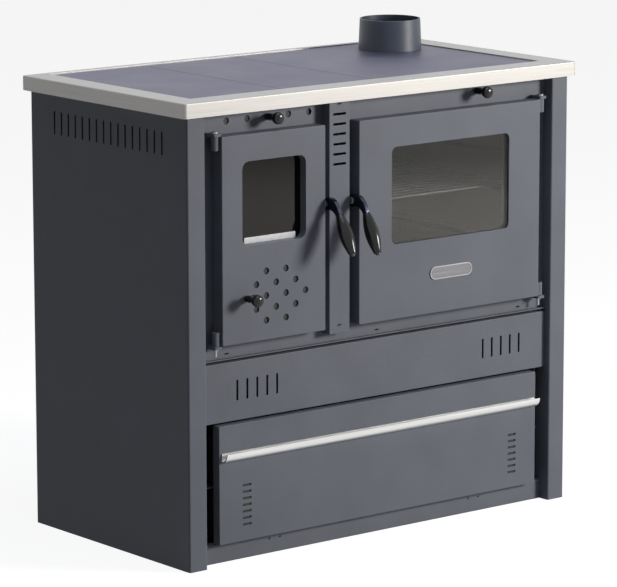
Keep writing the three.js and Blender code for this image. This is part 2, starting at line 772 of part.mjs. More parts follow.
// ---- front plate, with the hinge lugs and the guides of the upper air slide
const topAirX = fireX0 + TOP_AIR_CENTRE_INSET;
const topAirZ = skirtZ - TOP_AIR_DROP;
const topAirHoles = [-2, -1, 1, 2].map((k) => topAirX + k * TOP_AIR_PITCH);
const topKnobX = topAirX - 2;
const damperZ = skirtZ - DAMPER_DROP;
const plateShape = rect(-fillHalf, fillHalf, plateZ, cabinetTop);
plateShape.holes = [
  rect(...fireOpening, openingZ0, openingZ1),
  rect(...ovenOpening, openingZ0, openingZ1),
  ...topAirHoles.map((x) => circle(x, topAirZ, AIR_HOLE_RADIUS)),
  slot(topKnobX, topKnobX + TOP_AIR_STROKE, topAirZ, STEM_SLOT_RADIUS),
  circle(DAMPER_X, damperZ, KNOB_STEM_RADIUS + 1),
];
const fireAxisX = fireX0 - FIRE_AXIS_OUT;
const ovenAxisX = ovenX1 + OVEN_AXIS_OUT;
const lugLevels = [
  [doorZ - RUNNING_GAP - LUG_THICKNESS, doorZ - RUNNING_GAP],
  [doorTop + RUNNING_GAP, doorTop + RUNNING_GAP + LUG_THICKNESS],
];
const lugs = [fireAxisX, ovenAxisX].flatMap((x) =>
  lugLevels.map(([z0, z1]) => {
    const lug = roundedRect(
      x - LUG_HALF_WIDTH,
      x + LUG_HALF_WIDTH,
      plateY - LUG_REACH,
      plateY + 5,
      4,
    );
    lug.holes = [circle(x, hingeY, PIN_RADIUS + PIN_CLEARANCE, PIN_SIDES)];
    return cut(
      planPiece(lug, z0, z1),
      block(x - 20, x + 20, plateBack, plateY + 10, z0 - 1, z1 + 1),
    );
  }),
);
const topSlideY0 = behindPlate;
const topSlideY1 = topSlideY0 + TOP_AIR_SHEET;
const guideX0 = topAirX - 2 * TOP_AIR_PITCH - 34;
const guideX1 = topAirX + 2 * TOP_AIR_PITCH + 26;
const topGuides = [-1, 1].map((side) => {
  const edge = TOP_AIR_HALF_HEIGHT + 2 * SEAT_GAP;
  return sidePiece(
    outline(
      [
        [plateBack - 1, edge],
        [topSlideY1 + SEAT_GAP, edge],
        [topSlideY1 + SEAT_GAP, edge - SLIDE_GUIDE],
        [topSlideY1 + SEAT_GAP + 1.5, edge - SLIDE_GUIDE],
        [topSlideY1 + SEAT_GAP + 1.5, edge + SLIDE_GUIDE],
        [plateBack - 1, edge + SLIDE_GUIDE],
      ].map(([y, z]) => [y, topAirZ + side * z]),
    ),
    guideX0,
    guideX1,
  );
});
addPart(
  cabinet,
  "front_plate",
  join(
    frontPiece(plateShape, plateY, plateBack),
    block(-fillHalf, fillHalf, plateY - PLATE_LIP, plateY + 1, plateZ, plateZ + 2),
    block(
      -fillHalf,
      -fillHalf + PLATE_SHEET,
      plateY + 1,
      plateY + PLATE_END_FOLD,
      plateZ,
      cabinetTop,
    ),
    block(
      fillHalf - PLATE_SHEET,
      fillHalf,
      plateY + 1,
      plateY + PLATE_END_FOLD,
      plateZ,
      cabinetTop,
    ),
    ...lugs,
    ...topGuides,
  ),
  PAINT,
);

// ---- middle strip between the doors, and the two keeper pegs the latches catch under
const latchZ = doorZ + LATCH_RISE;
const keeperY = LATCH_Y + KEEPER_BACK;
const keeperZ = latchZ + KEEPER_RISE;
const peg = [
  [0, 0],
  [KEEPER_RADIUS, 0],
  [KEEPER_RADIUS, KEEPER_REACH - 0.8],
  [KEEPER_RADIUS - 0.8, KEEPER_REACH],
  [0, KEEPER_REACH],
];
addPart(
  cabinet,
  "middle_strip",
  cut(
    panel(
      stripX0,
      stripX1,
      plateZ + STRIP_SILL,
      cabinetTop,
      frontY,
      plateY - SEAT_GAP,
      STRIP_SHEET,
      1.2,
    ),
    frontPiece(
      Array.from({ length: STRIP_SLOT_COUNT }, (_, k) => {
        const z = skirtZ - STRIP_SLOT_DROP - k * STRIP_SLOT_PITCH;
        const x = (stripX0 + stripX1) / 2;
        return rect(
          x - STRIP_SLOT_WIDTH / 2,
          x + STRIP_SLOT_WIDTH / 2,
          z - STRIP_SLOT_HEIGHT / 2,
          z + STRIP_SLOT_HEIGHT / 2,
        );
      }),
      frontY - 5,
      frontY + 5,
    ),
  ),
  PAINT,
);
[
  ["fire_keeper_peg", -1, stripX0],
  ["oven_keeper_peg", 1, stripX1],
].forEach(([name, side, x]) =>
  addPart(
    cabinet,
    name,
    crosswise(peg, side, x + side * SEAT_GAP, keeperY, keeperZ, HOLE_SIDES),
    ZINC,
  ),
);

// ---- vented band
const bandSlots = [BAND_LEFT_SLOT_X, BAND_RIGHT_SLOT_X].flatMap((first) =>
  Array.from({ length: BAND_SLOT_COUNT }, (_, k) => {
    const x = first + k * BAND_SLOT_PITCH;
    return rect(
      x - BAND_SLOT_WIDTH / 2,
      x + BAND_SLOT_WIDTH / 2,
      bandZ + BAND_SLOT_RISE,
      bandZ + BAND_SLOT_RISE + BAND_SLOT_HEIGHT,
    );
  }),
);
addPart(
  cabinet,
  "band_panel",
  cut(
    panel(
      -fillHalf,
      fillHalf,
      bandZ,
      bandZ + BAND_HEIGHT,
      bandY,
      bandY + BAND_FOLD,
      CABINET_SHEET,
      1.5,
    ),
    frontPiece(bandSlots, bandY - 5, bandY + 5),
  ),
  PAINT,
);

// ================================================================ hob
// The frame is hollow: skirt, rim, a flange turned down round the cooking plates and a lip turned in.
const hobShell = solid(
  new THREE.ExtrudeGeometry(
    roundedRect(
      -HOB_WIDTH / 2,
      HOB_WIDTH / 2,
      -HOB_DEPTH / 2,
      HOB_DEPTH / 2,
      HOB_CORNER,
    ),
    {
      depth: HOB_SKIRT,
      bevelEnabled: true,
      bevelThickness: HOB_EDGE,
      bevelSize: HOB_EDGE,
      bevelOffset: -HOB_EDGE,
      bevelSegments: 3,
    },
  ).translate(0, 0, skirtZ - HOB_EDGE),
);
addPart(
  hob,
  "hob_frame",
  cut(
    hobShell,
    block(-HOB_WIDTH, HOB_WIDTH, -HOB_DEPTH, HOB_DEPTH, skirtZ - 10, skirtZ),
    block(-rimHalf, rimHalf, rimFront, rimBack, skirtZ - 1, HOB_TOP + 1),
    cut(
      planPiece(
        roundedRect(
          -HOB_WIDTH / 2 + HOB_SHEET,
          HOB_WIDTH / 2 - HOB_SHEET,
          -HOB_DEPTH / 2 + HOB_SHEET,
          HOB_DEPTH / 2 - HOB_SHEET,
          HOB_CORNER - HOB_SHEET,
        ),
        skirtZ + HOB_SHEET,
        HOB_TOP - HOB_SHEET,
      ),
      block(
        -rimHalf - HOB_SHEET,
        rimHalf + HOB_SHEET,
        rimFront - HOB_SHEET,
        rimBack + HOB_SHEET,
        hobPlateZ,
        HOB_TOP,
      ),
    ),
    block(
      -HOB_WIDTH / 2 + HOB_SIDE_LIP,
      HOB_WIDTH / 2 - HOB_SIDE_LIP,
      -HOB_DEPTH / 2 + HOB_FRONT_LIP,
      HOB_DEPTH / 2 - HOB_REAR_LIP,
      skirtZ - 1,
      hobPlateZ,
    ),
  ),
  STAINLESS,
);

const underframe = rect(
  -rimHalf - UNDERFRAME_OVERLAP,
  rimHalf + UNDERFRAME_OVERLAP,
  behindPlate + 0.3,
  rimBack + 2,
);
underframe.holes = [
  [-UNDERFRAME_INNER, LEFT_SEAM_X - UNDERFRAME_BAR / 2],
  [LEFT_SEAM_X + UNDERFRAME_BAR / 2, RIGHT_SEAM_X - UNDERFRAME_BAR / 2],
  [RIGHT_SEAM_X + UNDERFRAME_BAR / 2, UNDERFRAME_INNER],
].map(([x0, x1]) =>
  roundedRect(
    x0,
    x1,
    behindPlate + UNDERFRAME_FRONT,
    rimBack + 2 - UNDERFRAME_BACK,
    6,
    2,
  ),
);
addPart(
  hob,
  "hob_underframe",
  planPiece(underframe, underframeZ, underframeTop),
  IRON,
);

const hobPlateY = [rimFront + HOB_PLATE_GAP, rimBack - HOB_PLATE_GAP];
function hobPlate(x0, x1, hole) {
  const shape = roundedRect(x0, x1, ...hobPlateY, 1.5, 2);
  if (hole) shape.holes = [hole];
  return planPiece(shape, hobPlateZ, hobPlateTop);
}
addPart(
  hob,
  "hob_plate_left",
  hobPlate(-rimHalf + HOB_PLATE_GAP, LEFT_SEAM_X - HOB_SEAM / 2),
  HOB_STEEL,
);
addPart(
  hob,
  "hob_plate_middle",
  hobPlate(LEFT_SEAM_X + HOB_SEAM / 2, RIGHT_SEAM_X - HOB_SEAM / 2),
  HOB_STEEL,
);
addPart(
  hob,
  "hob_plate_right",
  hobPlate(
    RIGHT_SEAM_X + HOB_SEAM / 2,
    rimHalf - HOB_PLATE_GAP,
    circle(COLLAR_X, COLLAR_Y, COLLAR_SPIGOT_RADIUS + 0.5, COLLAR_SIDES),
  ),
  HOB_STEEL,
);

// ================================================================ flue
const collarSeat = hobPlateTop + SEAT_GAP;
addPart(
  flue,
  "flue_collar",
  solid(
    turned(
      [
        [COLLAR_SPIGOT_RADIUS - COLLAR_WALL, hobPlateZ],
        [COLLAR_SPIGOT_RADIUS, hobPlateZ],
        [COLLAR_SPIGOT_RADIUS, collarSeat],
        [COLLAR_BASE_RADIUS, collarSeat],
        [COLLAR_TOP_RADIUS, COLLAR_TOP],
        [COLLAR_TOP_RADIUS - COLLAR_WALL, COLLAR_TOP],
        [COLLAR_BASE_RADIUS - COLLAR_WALL, collarSeat + COLLAR_WALL],
        [COLLAR_SPIGOT_RADIUS - COLLAR_WALL, collarSeat + COLLAR_WALL],
        [COLLAR_SPIGOT_RADIUS - COLLAR_WALL, hobPlateZ],
      ],
      COLLAR_SIDES,
    ).rotateX(Math.PI / 2),
  ),
  FLUE_PAINT,
  [COLLAR_X, COLLAR_Y, 0],
);

// ---- upright sheet that parts the flue box from the smoke passage over the oven
const ovenTopZ = openingZ1 + OVEN_SHEET;
const dividerZ = ovenTopZ + SEAT_GAP;
const partitionX1 =
  fireOpening[1] + FIREBOX_ROOM + FIREBRICK + SEAT_GAP + FIREBOX_SHEET;
const partitionX0 = partitionX1 - FIREBOX_SHEET;
const valveHole = [
  DAMPER_X - DAMPER_PLATE_WIDTH / 2 + DAMPER_LAP,
  DAMPER_X + DAMPER_PLATE_WIDTH / 2 - DAMPER_LAP,
];
const valveZ0 = dividerZ + 2;
const valveZ1 = valveZ0 + DAMPER_PLATE_HEIGHT;
addPart(
  flue,
  "smoke_divider",
  cut(
    planPiece(
      folded(
        [
          [shellInner - SEAT_GAP, DIVIDER_FRONT_Y + DIVIDER_SHEET / 2],
          [DIVIDER_SIDE_X, DIVIDER_FRONT_Y + DIVIDER_SHEET / 2],
          [DIVIDER_SIDE_X, DIVIDER_REAR_Y + DIVIDER_SHEET / 2],
          [partitionX1 + SEAT_GAP, DIVIDER_REAR_Y + DIVIDER_SHEET / 2],
        ],
        DIVIDER_SHEET,
      ),
      dividerZ,
      shellTop,
    ),
    frontPiece(
      rect(...valveHole, valveZ0 + DAMPER_LAP, valveZ1 - DAMPER_LAP),
      DIVIDER_FRONT_Y - 5,
      DIVIDER_FRONT_Y + 10,
    ),
  ),
  IRON,
);

const valveBack = DIVIDER_FRONT_Y - SEAT_GAP;
const rodFront = plateBack + 1;
addPart(
  flue,
  "flue_damper",
  join(
    block(
      DAMPER_X - DAMPER_PLATE_WIDTH / 2,
      DAMPER_X + DAMPER_PLATE_WIDTH / 2,
      valveBack - DAMPER_PLATE_SHEET,
      valveBack,
      valveZ0,
      valveZ1,
    ),
    frontPiece(
      circle(DAMPER_X, damperZ, DAMPER_ROD_RADIUS, 16),
      rodFront,
      valveBack - DAMPER_PLATE_SHEET + 1,
    ),
  ),
  IRON,
);

// ================================================================ knobs
// [distance from the seat, radius] of a turned knob, as shares of its length and of its radius.
const KNOB_PROFILE = [
  [0, 0.53],
  [0.2, 0.6],
  [0.44, 0.55],
  [0.55, 0.67],
  [0.67, 0.9],
  [0.77, 1],
  [0.86, 1],
  [0.93, 0.89],
  [0.985, 0.6],
  [1, 0],
];
// The knob points to -Y. Its seat is at its own origin, and its stem runs back from it.
const knob = (stem) =>
  turned(
    [
      [0, -stem],
      [KNOB_STEM_RADIUS, -stem],
      [KNOB_STEM_RADIUS, 0],
      ...KNOB_PROFILE.map(([along, across]) => [
        across * KNOB_RADIUS,
        along * KNOB_LENGTH,
      ]),
    ],
    KNOB_SIDES,
  ).rotateX(Math.PI);
const addKnob = (group, name, stem, x, y, z) =>
  addPart(group, name, solid(knob(stem)), BLACK_GLOSS, [x, y, z]);

addKnob(
  flue,
  "flue_damper_knob",
  rodFront - SEAT_GAP - (plateY - SEAT_GAP),
  DAMPER_X,
  plateY - SEAT_GAP,
  damperZ,
);

// ---- upper air slide: its holes stand one stroke to the left of the plate's, so it is shut at rest
const topSlide = rect(
  topAirX - 2 * TOP_AIR_PITCH - TOP_AIR_STROKE - 10,
  topAirX + 2 * TOP_AIR_PITCH + 2,
  topAirZ - TOP_AIR_HALF_HEIGHT,
  topAirZ + TOP_AIR_HALF_HEIGHT,
);
topSlide.holes = topAirHoles.map((x) =>
  circle(x - TOP_AIR_STROKE, topAirZ, AIR_HOLE_RADIUS),
);
addPart(
  firebox,
  "secondary_air_slide",
  frontPiece(topSlide, topSlideY0, topSlideY1),
  ZINC,
);
addKnob(
  firebox,
  "secondary_air_knob",
  topSlideY0 - SEAT_GAP - (plateY - SEAT_GAP),
  topKnobX,
  plateY - SEAT_GAP,
  topAirZ,
);

// ================================================================ firebox
const pitTop = openingZ0 + PIT_FLOOR_RISE;
const shelfTop = openingZ0 + GRATE_SHELF_RISE;
const fireboxLeft = -shellInner + SEAT_GAP;
const fireboxRear = shellRearInner - SEAT_GAP;
const brickLeft = fireboxLeft + FIREBRICK;
const brickRight = partitionX0 - SEAT_GAP - FIREBRICK;
const grateX = (brickLeft + brickRight) / 2;
addPart(
  firebox,
  "firebox_frame",
  join(
    block(
      partitionX0,
      partitionX1,
      behindPlate,
      fireboxRear,
      shellFloor + SHELL_SHEET + SEAT_GAP,
      ovenTopZ,
    ),
    block(
      fireboxLeft,
      partitionX0 + 1,
      behindPlate,
      fireboxRear,
      pitTop - FIREBOX_SHEET,
      pitTop,
    ),
    cut(
      block(
        fireboxLeft,
        partitionX0 + 1,
        behindPlate,
        fireboxRear,
        shelfTop - FIREBOX_SHEET,
        shelfTop,
      ),
      block(
        grateX - GRATE_WIDTH / 2 + GRATE_SHELF_LAP,
        grateX + GRATE_WIDTH / 2 - GRATE_SHELF_LAP,
        GRATE_MIDDLE_Y - GRATE_LENGTH / 2 + GRATE_SHELF_LAP,
        GRATE_MIDDLE_Y + GRATE_LENGTH / 2 - GRATE_SHELF_LAP,
        shelfTop - FIREBOX_SHEET - 1,
        shelfTop + 1,
      ),
    ),
  ),
  IRON,
);

const brickZ0 = shelfTop + SEAT_GAP;
const brickZ1 = brickZ0 + FIREBRICK_HEIGHT;
const brickFront = behindPlate + 0.7;
addPart(
  firebox,
  "firebrick_left",
  planPiece(
    roundedRect(fireboxLeft, brickLeft, brickFront, fireboxRear, 2, 2),
    brickZ0,
    brickZ1,
  ),
  FIRECLAY,
);
addPart(
  firebox,
  "firebrick_right",
  planPiece(
    roundedRect(
      brickRight,
      partitionX0 - SEAT_GAP,
      brickFront,
      fireboxRear,
      2,
      2,
    ),
    brickZ0,
    brickZ1,
  ),
  FIRECLAY,
);
addPart(
  firebox,
  "firebrick_back",
  planPiece(
    roundedRect(
      brickLeft + SEAT_GAP,
      brickRight - SEAT_GAP,
      fireboxRear - FIREBRICK,
      fireboxRear,
      2,
      2,
    ),
    brickZ0,
    brickZ1,
  ),
  FIRECLAY,
);

const grate = roundedRect(
  grateX - GRATE_WIDTH / 2,
  grateX + GRATE_WIDTH / 2,
  GRATE_MIDDLE_Y - GRATE_LENGTH / 2,
  GRATE_MIDDLE_Y + GRATE_LENGTH / 2,
  5,
  2,
);
grate.holes = Array.from({ length: GRATE_SLOT_COUNT }, (_, k) => {
  const pitch = (GRATE_WIDTH - 2 * GRATE_SHELF_LAP) / GRATE_SLOT_COUNT;
  const x = grateX + (k - (GRATE_SLOT_COUNT - 1) / 2) * pitch;
  return rect(
    x - GRATE_SLOT_WIDTH / 2,
    x + GRATE_SLOT_WIDTH / 2,
    GRATE_MIDDLE_Y - GRATE_LENGTH / 2 + 25,
    GRATE_MIDDLE_Y + GRATE_LENGTH / 2 - 25,
  );
});
addPart(
  firebox,
  "grate",
  planPiece(grate, brickZ0, brickZ0 + GRATE_THICKNESS),
  IRON,
);

// A folded plate inside the opening that keeps logs from rolling out.
addPart(
  firebox,
  "log_guard",
  sidePiece(
    folded(
      [
        [brickFront + 10, brickZ0 + LOG_GUARD_HEIGHT],
        [brickFront + 10, brickZ0 + LOG_GUARD_SHEET / 2],
        [
          GRATE_MIDDLE_Y - GRATE_LENGTH / 2 - SEAT_GAP - 2,
          brickZ0 + LOG_GUARD_SHEET / 2,
        ],
      ],
      LOG_GUARD_SHEET,
      4,
    ),
    brickLeft + 1,
    brickRight - 1,
  ),
  IRON,
);

const panX0 = fireOpening[0] + ASH_PAN_SIDE_ROOM;
const panX1 = fireOpening[1] - ASH_PAN_SIDE_ROOM;
const panY = brickFront + 16;
const panZ = pitTop + 0.5;
addPart(
  firebox,
  "ash_pan",
  join(
    cut(
      block(panX0, panX1, panY, panY + ASH_PAN_LENGTH, panZ, panZ + ASH_PAN_HEIGHT),
      block(
        panX0 + ASH_PAN_SHEET,
        panX1 - ASH_PAN_SHEET,
        panY + ASH_PAN_SHEET,
        panY + ASH_PAN_LENGTH - ASH_PAN_SHEET,
        panZ + ASH_PAN_SHEET,
        panZ + ASH_PAN_HEIGHT + 1,
      ),
    ),
    // pull: a strip turned forward at the top of its front
    block(
      (panX0 + panX1) / 2 - 32,
      (panX0 + panX1) / 2 + 32,
      panY - 12,
      panY + 1,
      panZ + ASH_PAN_HEIGHT - 2,
      panZ + ASH_PAN_HEIGHT,
    ),
  ),
  ZINC,
);

// ================================================================ oven
const ledges = OVEN_LEDGE_HEIGHTS.flatMap((rise) =>
  [
    [ovenOpening[0] - 1, ovenOpening[0] + OVEN_LEDGE],
    [ovenOpening[1] - OVEN_LEDGE, ovenOpening[1] + 1],
  ].map(([x0, x1]) =>
    block(
      x0,
      x1,
      RACK_FRONT_Y - 5,
      OVEN_BACK_Y - SEAT_GAP,
      openingZ0 + rise - OVEN_LEDGE_THICKNESS,
      openingZ0 + rise,
    ),
  ),
);
const ovenFlange = rect(
  ovenOpening[0] - OVEN_FLANGE,
  ovenOpening[1] + OVEN_FLANGE,
  openingZ0 - OVEN_FLANGE,
  openingZ1 + OVEN_FLANGE,
);
ovenFlange.holes = [rect(...ovenOpening, openingZ0, openingZ1)];
const ovenFeet = [0.2, 0.8].map((share) => {
  const x = ovenOpening[0] + share * (ovenOpening[1] - ovenOpening[0]);
  return block(
    x - 15,
    x + 15,
    OVEN_BACK_Y - 60,
    OVEN_BACK_Y - 57,
    shellFloor + SHELL_SHEET + SEAT_GAP,
    openingZ0 - OVEN_SHEET + 1,
  );
});
addPart(
  oven,
  "oven_box",
  join(
    cut(
      block(
        ovenOpening[0] - OVEN_SHEET,
        ovenOpening[1] + OVEN_SHEET,
        behindPlate,
        OVEN_BACK_Y,
        openingZ0 - OVEN_SHEET,
        ovenTopZ,
      ),
      block(...ovenOpening, behindPlate - 1, OVEN_BACK_Y + 1, openingZ0, openingZ1),
    ),
    frontPiece(ovenFlange, behindPlate, behindPlate + OVEN_SHEET),
    ...ledges,
    ...ovenFeet,
  ),
  ENAMEL,
);

addPart(
  oven,
  "oven_back",
  block(
    ovenOpening[0] - OVEN_SHEET,
    ovenOpening[1] + OVEN_SHEET,
    OVEN_BACK_Y + SEAT_GAP,
    OVEN_BACK_Y + SEAT_GAP + OVEN_SHEET,
    openingZ0 - OVEN_SHEET,
    ovenTopZ,
  ),
  ENAMEL,
);

const rackZ =
  openingZ0 + OVEN_LEDGE_HEIGHTS[RACK_LEVEL] + SEAT_GAP + RACK_WIRE_RADIUS;
const rackX0 = ovenOpening[0] + RACK_SIDE_ROOM + RACK_WIRE_RADIUS;
const rackX1 = ovenOpening[1] - RACK_SIDE_ROOM - RACK_WIRE_RADIUS;
const wireAlongX = (y, z, radius, sides) =>
  sidePiece(circle(y, z, radius, sides), rackX0 - 0.9, rackX1 + 0.9);
const wireAlongY = (x) =>
  frontPiece(
    circle(x, rackZ, RACK_WIRE_RADIUS, 8),
    RACK_FRONT_Y - 0.9,
    RACK_BACK_Y + 0.9,
  );
addPart(
  oven,
  "oven_rack",
  join(
    wireAlongY(rackX0),
    wireAlongY(rackX1),
    wireAlongY((rackX0 + rackX1) / 2),
    wireAlongX(RACK_FRONT_Y, rackZ + 0.1, RACK_WIRE_RADIUS, 8),
    wireAlongX(RACK_BACK_Y, rackZ + 0.1, RACK_WIRE_RADIUS, 8),
    ...Array.from({ length: RACK_CROSS_COUNT }, (_, k) =>
      wireAlongX(
        RACK_FRONT_Y +
          ((k + 1) * (RACK_BACK_Y - RACK_FRONT_Y)) / (RACK_CROSS_COUNT + 1),
        rackZ + 0.8,
        RACK_CROSS_RADIUS,
        6,
      ),
    ),
  ),
  STAINLESS,
);

// ================================================================ doors
const linerY1 = doorBack - LINER_SETBACK;
const linerY0 = linerY1 - LINER_SHEET;
const axisBore = circle(0, 0, PIN_RADIUS + PIN_CLEARANCE, PIN_SIDES);

// Face, knuckles and the hole of the latch's pivot. hinge is -1 on the left and 1 on the right.
function doorSkin(x0, x1, hinge, axisX) {
  const hingedEdge = hinge < 0 ? x0 : x1;
  const latchedEdge = hinge < 0 ? x1 : x0;
  const knuckles = [
    [doorZ, doorZ + KNUCKLE_HEIGHT],
    [doorTop - KNUCKLE_HEIGHT, doorTop],
  ].flatMap(([z0, z1]) => [
    planPiece(circle(axisX, hingeY, KNUCKLE_RADIUS, PIN_SIDES), z0, z1),
    block(
      Math.min(axisX, hingedEdge - hinge * 1),
      Math.max(axisX, hingedEdge - hinge * 1),
      hingeY - KNUCKLE_RADIUS + 1.5,
      hingeY + KNUCKLE_RADIUS - 1.5,
      z0,
      z1,
    ),
  ]);
  return cut(
    join(
      panel(
        x0,
        x1,
        doorZ,
        doorTop,
        doorY,
        doorBack,
        DOOR_SHEET,
        DOOR_EDGE,
        DOOR_CORNER,
      ),
      ...knuckles,
    ),
    planPiece(axisBore, doorZ - 1, doorTop + 1).translate([axisX, hingeY, 0]),
    sidePiece(
      circle(LATCH_Y, latchZ, LATCH_PIN_RADIUS + SEAT_GAP, HOLE_SIDES),
      latchedEdge - 6,
      latchedEdge + 6,
    ),
  );
}

function sealRing(x0, x1) {
  const at = (inset, radius) =>
    roundedRect(
      x0 + inset,
      x1 - inset,
      doorZ + inset,
      doorTop - inset,
      radius,
    );
  const ring = at(SEAL_INSET, 12);
  ring.holes = [at(SEAL_INSET + SEAL_WIDTH, 5)];
  return frontPiece(ring, linerY1 + SEAT_GAP, plateY - SEAT_GAP);
}

function linerShape(x0, x1) {
  const inset = DOOR_SHEET + SEAT_GAP;
  return roundedRect(x0 + inset, x1 - inset, doorZ + inset, doorTop - inset, 1, 1);
}

function hingePins(group, name, axisX) {
  const [low, high] = lugLevels;
  const headZ = high[1] + SEAT_GAP;
  addPart(
    group,
    name + "_hinge_pin_top",
    upright(
      [
        [0, doorTop - KNUCKLE_HEIGHT + 1],
        [PIN_RADIUS, doorTop - KNUCKLE_HEIGHT + 1],
        [PIN_RADIUS, headZ],
        [PIN_HEAD_RADIUS, headZ],
        [PIN_HEAD_RADIUS, headZ + PIN_HEAD_HEIGHT - 1],
        [PIN_HEAD_RADIUS - 1, headZ + PIN_HEAD_HEIGHT],
        [0, headZ + PIN_HEAD_HEIGHT],
      ],
      0,
      0,
    ),
    ZINC,
    [axisX, hingeY, 0],
  );
  const collarZ = low[0] - SEAT_GAP;
  addPart(
    group,
    name + "_hinge_pin_bottom",
    upright(
      [
        [0, collarZ - 1.5 - PIN_TAIL],
        [PIN_TAIL_RADIUS, collarZ - 1.5 - PIN_TAIL],
        [PIN_TAIL_RADIUS, collarZ - 1.5],
        [PIN_HEAD_RADIUS - 0.5, collarZ - 1.5],
        [PIN_HEAD_RADIUS - 0.5, collarZ],
        [PIN_RADIUS, collarZ],
        [PIN_RADIUS, doorZ + KNUCKLE_HEIGHT - 1],
        [0, doorZ + KNUCKLE_HEIGHT - 1],
      ],
      0,
      0,
    ),
    ZINC,
    [axisX, hingeY, 0],
  );
}

// ---- latch: a lever in the gap beside the door, its grip, and the pivot bolted to the door's edge
function latch(group, name, edgeX, out, droop) {
  const leverX = edgeX + out * LATCH_OFFSET;
  const lean = radians(-droop);
  // from [forward, up] at the hub to the side outline's [y, z], hanging down by the droop
  const hang = ([forward, up]) => [
    LATCH_Y - (forward * Math.cos(lean) - up * Math.sin(lean)),
    latchZ + forward * Math.sin(lean) + up * Math.cos(lean),
  ];
  const tilt = radians(GRIP_TILT);
  const along = [Math.sin(tilt), -Math.cos(tilt)]; // down the grip, as [forward, up]
  const across = [Math.cos(tilt), Math.sin(tilt)];
  const top = [GRIP_FORWARD, -GRIP_DROP];
  const corner = (share) => [
    top[0] + share * GRIP_SEAT * across[0],
    top[1] + share * GRIP_SEAT * across[1],
  ];
  const curve = (from, control, to) =>
    new THREE.QuadraticBezierCurve(
      new THREE.Vector2(...from),
      new THREE.Vector2(...control),
      new THREE.Vector2(...to),
    )
      .getPoints(6)
      .map((p) => [p.x, p.y]);
  const arm = outline(
    [
      ...curve([2, LATCH_HUB_RADIUS - 0.4], [30, 20], corner(1)),
      ...curve(corner(-1), [24, -4], [2, -LATCH_HUB_RADIUS + 0.4]),
    ].map(hang),
  );
  const nose = roundedRect(
    LATCH_Y - 2,
    LATCH_Y + LATCH_NOSE,
    latchZ - LATCH_NOSE_HALF,
    latchZ + LATCH_NOSE_HALF,
    3,
  );
  const x0 = leverX - LATCH_THICKNESS / 2;
  const x1 = leverX + LATCH_THICKNESS / 2;
  const gripTilt = Math.PI - tilt - lean;
  const [topY, topZ] = hang(top);
  const tang = solid(
    turned(
      [
        [0, -4],
        [GRIP_TANG_RADIUS, -4],
        [GRIP_TANG_RADIUS, GRIP_LENGTH + 2.5],
        [0, GRIP_LENGTH + 2.5],
      ],
      HOLE_SIDES,
    )
      .rotateX(Math.PI / 2)
      .rotateX(gripTilt)
      .translate(leverX, topY, topZ),
  );
  addPart(
    group,
    name + "_latch_lever",
    cut(
      join(
        sidePiece(circle(LATCH_Y, latchZ, LATCH_HUB_RADIUS, 24), x0, x1),
        sidePiece(arm, x0, x1),
        sidePiece(nose, x0, x1),
        tang,
      ),
      sidePiece(
        circle(LATCH_Y, latchZ, LATCH_PIN_RADIUS + PIN_CLEARANCE, PIN_SIDES),
        x0 - 1,
        x1 + 1,
      ),
    ),
    POLISHED,
  );
  const barrel = Array.from({ length: 9 }, (_, k) => [
    GRIP_END_RADIUS +
      (GRIP_MIDDLE_RADIUS - GRIP_END_RADIUS) * Math.sin((Math.PI * k) / 8),
    SEAT_GAP + (k * (GRIP_LENGTH - SEAT_GAP)) / 8,
  ]);
  const bore = GRIP_TANG_RADIUS + SEAT_GAP;
  addPart(
    group,
    name + "_latch_grip",
    solid(
      turned(
        [[bore, SEAT_GAP], ...barrel, [bore, GRIP_LENGTH], [bore, SEAT_GAP]],
        KNOB_SIDES,
      ).rotateX(Math.PI / 2),
    ),
    BLACK_GLOSS,
    [leverX, topY, topZ],
    gripTilt,
  );
  const near = LATCH_OFFSET - LATCH_THICKNESS / 2;
  const far = LATCH_OFFSET + LATCH_THICKNESS / 2 + SEAT_GAP;
  addPart(
    group,
    name + "_latch_pivot",
    crosswise(
      [
        [0, -DOOR_SHEET - 4],
        [LATCH_PIN_RADIUS, -DOOR_SHEET - 4],
        [LATCH_PIN_RADIUS, SEAT_GAP],
        [7.5, SEAT_GAP],
        [7.5, near - SEAT_GAP],
        [LATCH_PIN_RADIUS, near - SEAT_GAP],
        [LATCH_PIN_RADIUS, far],
        [7, far],
        [7, far + 1.4],
        [6, far + 2.2],
        [0, far + 2.2],
      ],
      out,
      0,
      0,
      0,
    ),
    ZINC,
    [edgeX, LATCH_Y, latchZ],
  );
}

// ---- fire door
const fireWindow = [
  fireX0 + FIRE_WINDOW_INSET,
  fireX0 + FIRE_WINDOW_INSET + FIRE_WINDOW_WIDTH,
];
const fireWindowZ = [
  doorZ + FIRE_WINDOW_SILL,
  doorZ + FIRE_WINDOW_SILL + FIRE_WINDOW_HEIGHT,
];
const airX = fireX0 + AIR_CENTRE_INSET;
const airZ = doorZ + AIR_CENTRE_RISE;
